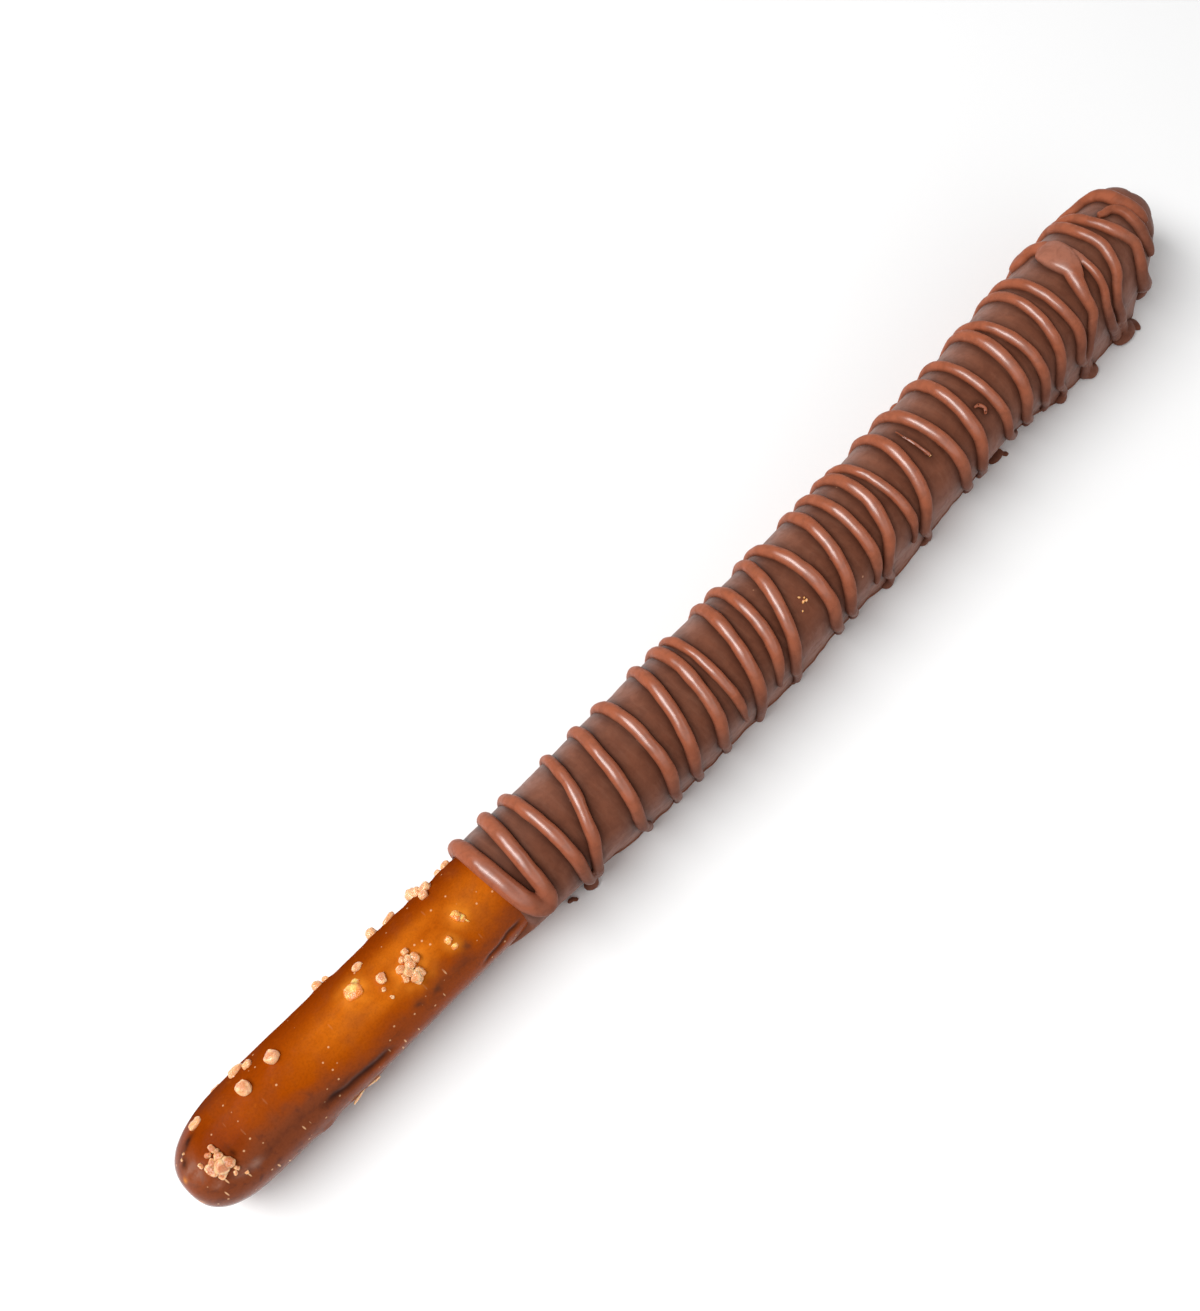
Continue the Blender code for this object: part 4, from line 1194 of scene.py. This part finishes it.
def drizzle_solids(material):
    """All strands, lumps and toes as overlapping closed solids in one mesh."""
    routes = [strand_route(strand) for strand in DRIZZLE] + [wanderer_route(route) for route in WANDERERS]
    cords = run_tree(link("cords", routes_mesh(routes)), strand_tree(material), {
        "Sides": STRAND_SIDES, "Unevenness": STRAND_UNEVENNESS, "Lump": STRAND_LUMP})
    meshes = [cords.data]
    meshes += [lump_mesh("lump", lump_on_coat(*lump), LUMP_FLATNESS) for lump in LUMPS]
    meshes += [lump_mesh("toe", toe_at_table(*toe), 1.0) for toe in TOES]
    bpy.data.objects.remove(cords)
    return join_meshes("drizzle_solids", meshes)


def fuse(solids, fineness, melt):
    """Melts overlapping solids into one skin, smoothed."""
    fused = link("fused", solids)
    remesh = fused.modifiers.new("Fuse", "REMESH")
    remesh.mode = "VOXEL"
    remesh.voxel_size = fineness
    smooth = fused.modifiers.new("Melt", "SMOOTH")
    smooth.factor = 0.5
    smooth.iterations = melt
    bake(fused)
    thin = fused.modifiers.new("Thin", "DECIMATE")
    thin.ratio = min(1.0, DRIZZLE_FACES / (2 * len(fused.data.polygons)))
    bake(fused)
    return fused


def merge(first, second, kind):
    """Adds the second closed solid to the first, or cuts it out of it, with crisp seams."""
    step = first.modifiers.new("Merge", "BOOLEAN")
    step.operation = kind
    step.solver = "MANIFOLD"
    step.object = second
    bake(first)


def lay_flat(item):
    """Sets everything at or under the table's top flat on it."""
    places = np.zeros(len(item.data.vertices) * 3, np.float32)
    item.data.vertices.foreach_get("co", places)
    places[2::3] = np.where(places[2::3] < TABLE_SNAP, 0.0, places[2::3])
    item.data.vertices.foreach_set("co", places)


def drop_scraps(mesh, fewest):
    """Deletes loose pieces with too few faces, the slivers that are left where fused skins only graze."""
    bm = bmesh.new()
    bm.from_mesh(mesh)
    waiting = set(bm.faces)
    scraps = []
    while waiting:
        front = [waiting.pop()]
        piece = []
        while front:
            face = front.pop()
            piece.append(face)
            around = {other for edge in face.edges for other in edge.link_faces} & waiting
            waiting -= around
            front += around
        if len(piece) < fewest:
            scraps += piece
    bmesh.ops.delete(bm, geom=scraps, context="FACES")
    bm.to_mesh(mesh)
    bm.free()


def bore_mesh():
    """The room that the rod takes in the coat, a hair smaller than the rod, so that no gap shows."""
    stations = [40.0 * MM, *spread(48.0 * MM, ROD_END - NOSE_LENGTH, 30)]
    stations += [ROD_END - NOSE_LENGTH * (1.0 - math.sin(math.pi / 2 * i / 10)) for i in range(1, 10)]
    rings = []
    for station in stations:
        middle, radius = centre(station), rod_radius(station) - BORE_OVERLAP
        rings.append([middle + radius * outward(360.0 * i / 64) for i in range(64)])
    return skin("bore", rings)


def distance_node(tree, item):
    """Distance from a place to the skin of an object."""
    source = add_node(tree, "GeometryNodeObjectInfo", {"Object": item})
    near = add_node(tree, "GeometryNodeProximity", {"Geometry": source.outputs["Geometry"]})
    return near.outputs["Distance"]


def tint_tree(strands, coat, material):
    """Marks the drizzle's faces, and the seams and close gaps that get painted shade, by the distance to
    what was fused.
    """
    tree = new_tree("drizzle_tint", {name: "NodeSocketFloat" for name in TINT_SIZES})
    given = add_node(tree, "NodeGroupInput").outputs
    to_strands, to_coat = (distance_node(tree, item) for item in (strands, coat))
    near = add_node(tree, "FunctionNodeCompare", {"A": to_strands, "B": given["Near"]},
                    data_type="FLOAT", operation="LESS_THAN").outputs["Result"]
    marked = store_step(tree, given["Geometry"], "drizzle", near, "FACE")
    seams = []
    for distance, reach in ((to_strands, given["Cavity"]), (to_coat, given["Side"])):
        fall = add_node(tree, "ShaderNodeMapRange", {
            "Value": distance, "From Min": 0.0, "From Max": reach, "To Min": 1.0, "To Max": 0.0})
        seams.append(fall.outputs["Result"])
    seam_shade = between_node(tree, stored_node(tree, "drizzle"), *seams)
    marked = store_step(tree, marked, "crease", seam_shade, "CORNER")
    room = add_node(tree, "ShaderNodeMapRange", {"Value": to_strands, "From Max": given["Room"]})
    marked = store_step(tree, marked, "open", room.outputs["Result"], "POINT")
    smooth = geometry_step(tree, "GeometryNodeSetShadeSmooth", marked)
    angle = add_node(tree, "GeometryNodeInputMeshEdgeAngle").outputs[0]
    flat = add_node(tree, "FunctionNodeCompare", {"A": angle, "B": given["Crease"]},
                    data_type="FLOAT", operation="LESS_THAN").outputs["Result"]
    crisp = geometry_step(tree, "GeometryNodeSetShadeSmooth", smooth, {"Shade Smooth": flat}, domain="EDGE")
    return end_tree(tree, crisp, material)


def coat_colour(tree, settings, place, side, height):
    """Coat: painted light high on its left, painted shade between close strands, painted sheen low down,
    and specks.
    """
    # Painted light: the coat is paler high on its left
    left = times(tree, band_node(tree, side, -1.0 * MM, 5.0 * MM),
                 band_node(tree, height, 6.0 * MM, 12.0 * MM))
    specks = dots_node(tree, place, (1.0, 1.0, 1.0), 4.0 * MM, 0.2 * MM, 0.4)
    # Painted shade: between close strands the coat keeps only a share of its colour
    shut = tuple(SHUT_SHADE * value for value in settings.coat)
    return paint(
        tree, shut,
        (attribute_node(tree, "open"), blend_node(tree, left, settings.coat, settings.lit_left_coat)),
        # Painted pale sheen low on the coat, standing for light from the floor
        (band_node(tree, height, 3.0 * MM, 9.0 * MM, 0.22, 0.0), COAT_LOW_SHEEN),
        (times(tree, specks, 0.6), COAT_SPECK))


def strand_colour(tree, settings, place, along, side, level):
    """Drizzle: painted light on top and on the left, painted shade low on the right and at the tip, with a
    smear.
    """
    # Painted light on top and on the left; the rest is painted shade
    lit = math_node(tree, "MAXIMUM", band_node(tree, level, 9.5 * MM, 15.5 * MM),
                    band_node(tree, side, 0.0, 5.0 * MM))
    tip_right = times(tree, band_node(tree, along, MARK_X + 179.0 * MM, MARK_X + 184.0 * MM),
                      band_node(tree, side, 1.5 * MM, -3.0 * MM))
    tip_end = band_node(tree, along, MARK_X + 184.5 * MM, MARK_X + 188.0 * MM)
    at_tip = times(tree, math_node(tree, "MAXIMUM", tip_right, tip_end), TIP_SHADE)
    lit = times(tree, lit, math_node(tree, "SUBTRACT", 1.0, at_tip))
    from_smear = vector_node(tree, "DISTANCE", place, coat_point(*SMEAR_MIDDLE))
    return paint(tree, settings.shaded_drizzle, (lit, settings.drizzle),
                 # Pale film over the smear, partly painted sheen
                 (band_node(tree, from_smear, 2.0 * MM, 5.0 * MM, 0.55, 0.0), SMEAR_FILM_AND_SHEEN))


def chocolate_material(settings):
    """Milk chocolate: the coat dull and dark, the drizzle glossy and painted lighter where light falls on
    it.
    """
    material, tree, shader = new_material("milk_chocolate", ior=1.5, coat_roughness=0.35, coat_ior=1.68)
    place = place_node(tree)
    drizzle = attribute_node(tree, "drizzle")
    broad = lumps_node(tree, place, 6.0 * MM, 3.0, 0.55, 0.3)
    cloud = lumps_node(tree, place, 1.4 * MM, 4.0, 0.6, 0.5)
    grain = lumps_node(tree, place, 0.22 * MM, 3.0, 0.65)
    round_way = add_node(tree, "ShaderNodeMapping", {"Vector": place, "Scale": (1.0, 0.2, 0.2)}).outputs[0]
    streak = lumps_node(tree, round_way, 0.7 * MM, 3.0, 0.6)
    along, side, height = add_node(tree, "ShaderNodeSeparateXYZ", {0: place}).outputs
    thicker = band_node(tree, along, MARK_X + 145.0 * MM, MARK_X + 170.0 * MM, 0.0, TIP_THICKENING)
    level = math_node(tree, "SUBTRACT", height, thicker)
    wall = coat_colour(tree, settings, place, side, height)
    strand = strand_colour(tree, settings, place, along, side, level)
    # Painted shade in the seams beside the strands
    seam_shade = times(tree, attribute_node(tree, "crease"),
                 band_node(tree, height, 0.3 * MM, 2.5 * MM, 0.1, 0.55))
    bloom = math_node(tree, "ADD", band_node(tree, broad, 0.45, 0.75, 0.0, 0.10),
                      band_node(tree, streak, 0.45, 0.7, 0.0, 0.10))
    colour = paint(tree, wall, (drizzle, strand), (seam_shade, SEAM_SHADE),
                   (band_node(tree, cloud, 0.38, 0.66, 0.0, 0.22), CLOUD_DARK), (bloom, BLOOM))
    tree.links.new(colour, shader.inputs["Base Color"])
    rough = math_node(tree, "ADD", band_node(tree, drizzle, 0.0, 1.0, 0.5, 0.40),
                      band_node(tree, cloud, 0.35, 0.7, -0.05, 0.06))
    tree.links.new(rough, shader.inputs["Roughness"])
    grazing = grazing_node(tree)
    on_top = times(tree, band_node(tree, grazing, 0.06, 0.27, 1.0, 0.0),
                   band_node(tree, level, 13.4 * MM, 15.8 * MM, 0.0, 1.0))
    tree.links.new(times(tree, drizzle, on_top), shader.inputs["Coat Weight"])
    sheen = times(tree, band_node(tree, grazing, 0.15, 0.85, 0.10, 0.6),
                  band_node(tree, side, -6.0 * MM, 2.0 * MM, 0.4, 1.0))
    sheen = between_node(tree, drizzle, sheen, band_node(tree, on_top, 0.0, 1.0, 0.05, 0.6))
    tree.links.new(sheen, shader.inputs["Specular IOR Level"])
    normal = bump_node(tree, cloud, 0.05 * MM)
    tree.links.new(bump_node(tree, grain, 0.012 * MM, normal), shader.inputs["Normal"])
    return material


class PRETZEL_OT_chocolate(bpy.types.Operator):
    """Dips the rod: the coat with its foot, fused with the drizzle, and bored for the rod."""

    bl_idname = "pretzel.chocolate"
    bl_label = "Chocolate Coat and Drizzle"

    def execute(self, context):
        settings = context.scene.pretzel_chocolate
        material = chocolate_material(settings)
        strands = fuse(drizzle_solids(material), settings.fineness, settings.melt)
        bore = link("bore", bore_mesh())
        coat = link("coat", coat_mesh())
        chocolate = link("chocolate", coat.data.copy())
        merge(chocolate, strands, "UNION")
        merge(chocolate, bore, "DIFFERENCE")
        lay_flat(chocolate)
        drop_scraps(chocolate.data, SCRAP_FACES)
        run_tree(chocolate, tint_tree(strands, coat, material), TINT_SIZES)
        for spare in (bore, strands, coat):
            bpy.data.objects.remove(spare)
        if not chocolate.data.polygons:
            raise RuntimeError("the chocolate came out empty")
        keep_piece(chocolate, "chocolate_coat")
        return {"FINISHED"}


# The stage

def floor_material(colour):
    """A pale matt floor with the faintest unevenness."""
    material, tree, shader = new_material("pale_floor", specular_ior_level=0.1)
    place = place_node(tree)
    cloud = lumps_node(tree, place, 60.0 * MM, 3.0, 0.5)
    shade = tuple(0.985 * value for value in colour)
    tree.links.new(blend_node(tree, cloud, colour, shade), shader.inputs["Base Color"])
    tree.links.new(band_node(tree, cloud, 0.3, 0.7, 0.8, 0.9), shader.inputs["Roughness"])
    fine = lumps_node(tree, place, 0.5 * MM)
    tree.links.new(bump_node(tree, fine, 0.01 * MM), shader.inputs["Normal"])
    return material


def dome_world(horizon, zenith, lean):
    """White light from all round, weaker from straight above, and stronger from low on the right."""
    world = bpy.data.worlds.new("dome")
    world.use_nodes = True
    tree = world.node_tree
    sky = tree.nodes["Background"]
    sky.inputs["Color"].default_value = (1.0, 1.0, 1.0, 1.0)
    way = add_node(tree, "ShaderNodeTexCoord").outputs["Generated"]
    way = add_node(tree, "ShaderNodeSeparateXYZ", {0: way}).outputs
    across = math_node(tree, "SUBTRACT", times(tree, way["Y"], 0.8), times(tree, way["X"], 0.6))
    side = band_node(tree, across, -1.0, 1.0, 1.0 + lean, 1.0 - lean)
    low = times(tree, band_node(tree, way["Z"], 0.1, 0.9, horizon, 0.0), side)
    tree.links.new(math_node(tree, "ADD", low, zenith), sky.inputs["Strength"])
    return world


def floor_mesh():
    """A square of floor round the origin."""
    mesh = bpy.data.meshes.new("floor")
    corners = ((-1, -1), (1, -1), (1, 1), (-1, 1))
    mesh.from_pydata([(FLOOR_REACH * x, FLOOR_REACH * y, 0.0) for x, y in corners], [], [(0, 1, 2, 3)])
    return mesh


def aim(item, place, right, back):
    """Sets a lamp or a camera at a place, with its right side and its back the given ways."""
    turned = Matrix((right, back.cross(right), back)).transposed().to_4x4()
    item.matrix_world = Matrix.Translation(place) @ turned


class PRETZEL_OT_stage(bpy.types.Operator):
    """Lays the floor, and sets the light and the camera."""

    bl_idname = "pretzel.stage"
    bl_label = "Floor, Light and Camera"

    def execute(self, context):
        settings = context.scene.pretzel_stage
        scene = context.scene
        mesh = floor_mesh()
        mesh.materials.append(floor_material(settings.floor))
        link("floor", mesh)
        scene.world = dome_world(settings.horizon, settings.zenith, settings.lean)
        lamp = bpy.data.lights.new("softbox", "AREA")
        lamp.shape = "RECTANGLE"
        lamp.size, lamp.size_y = SOFTBOX_SIZE
        lamp.energy = settings.softbox
        back = SOFTBOX_DIRECTION.normalized()
        right = Vector((0.0, 1.0, 0.0)).cross(back).normalized()
        aim(link("softbox", lamp), back * SOFTBOX_DISTANCE, right, back)
        camera = bpy.data.cameras.new("camera")
        camera.sensor_width = SENSOR_WIDTH
        camera.lens = FOCAL_PIXELS / max(FRAME_PIXELS) * camera.sensor_width
        camera.clip_start, camera.clip_end = CAMERA_CLIP
        scene.camera = link("camera", camera)
        place = Vector((MARK_X + CAMERA_PLACE[0], *CAMERA_PLACE[1:]))
        aim(scene.camera, place, CAMERA_RIGHT.normalized(), -CAMERA_VIEW.normalized())
        scene.view_settings.view_transform = "Standard"
        return {"FINISHED"}


class PRETZEL_PT_panel(bpy.types.Panel):
    """Lists the steps that build the pretzel rod."""

    bl_idname = "PRETZEL_PT_panel"
    bl_label = "Pretzel Rod"
    bl_space_type = "VIEW_3D"
    bl_region_type = "UI"
    bl_category = "Pretzel"

    def draw(self, context):
        layout = self.layout
        for group, steps in STEPS:
            settings = getattr(context.scene, group)
            for key in settings.__annotations__:
                layout.prop(settings, key)
            for step in steps:
                layout.operator(step.bl_idname)


STEPS = (
    ("pretzel_crust", (PRETZEL_OT_crust, PRETZEL_OT_salt)),
    ("pretzel_chocolate", (PRETZEL_OT_chocolate,)),
    ("pretzel_stage", (PRETZEL_OT_stage,)),
)
SETTINGS = {
    "pretzel_crust": CrustSettings,
    "pretzel_chocolate": ChocolateSettings,
    "pretzel_stage": StageSettings,
}
CLASSES = (*SETTINGS.values(), *(step for _, steps in STEPS for step in steps), PRETZEL_PT_panel)


def register():
    """Registers the settings, the steps and the panel."""
    for kind in CLASSES:
        bpy.utils.register_class(kind)
    for name, kind in SETTINGS.items():
        setattr(bpy.types.Scene, name, bpy.props.PointerProperty(type=kind))


def unregister():
    """Takes them out again."""
    for name in SETTINGS:
        delattr(bpy.types.Scene, name)
    for kind in reversed(CLASSES):
        bpy.utils.unregister_class(kind)


def main():
    """Builds everything in order."""
    register()
    bpy.ops.pretzel.crust()
    bpy.ops.pretzel.salt()
    bpy.ops.pretzel.chocolate()
    bpy.ops.pretzel.stage()


if __name__ == "__main__":
    main()
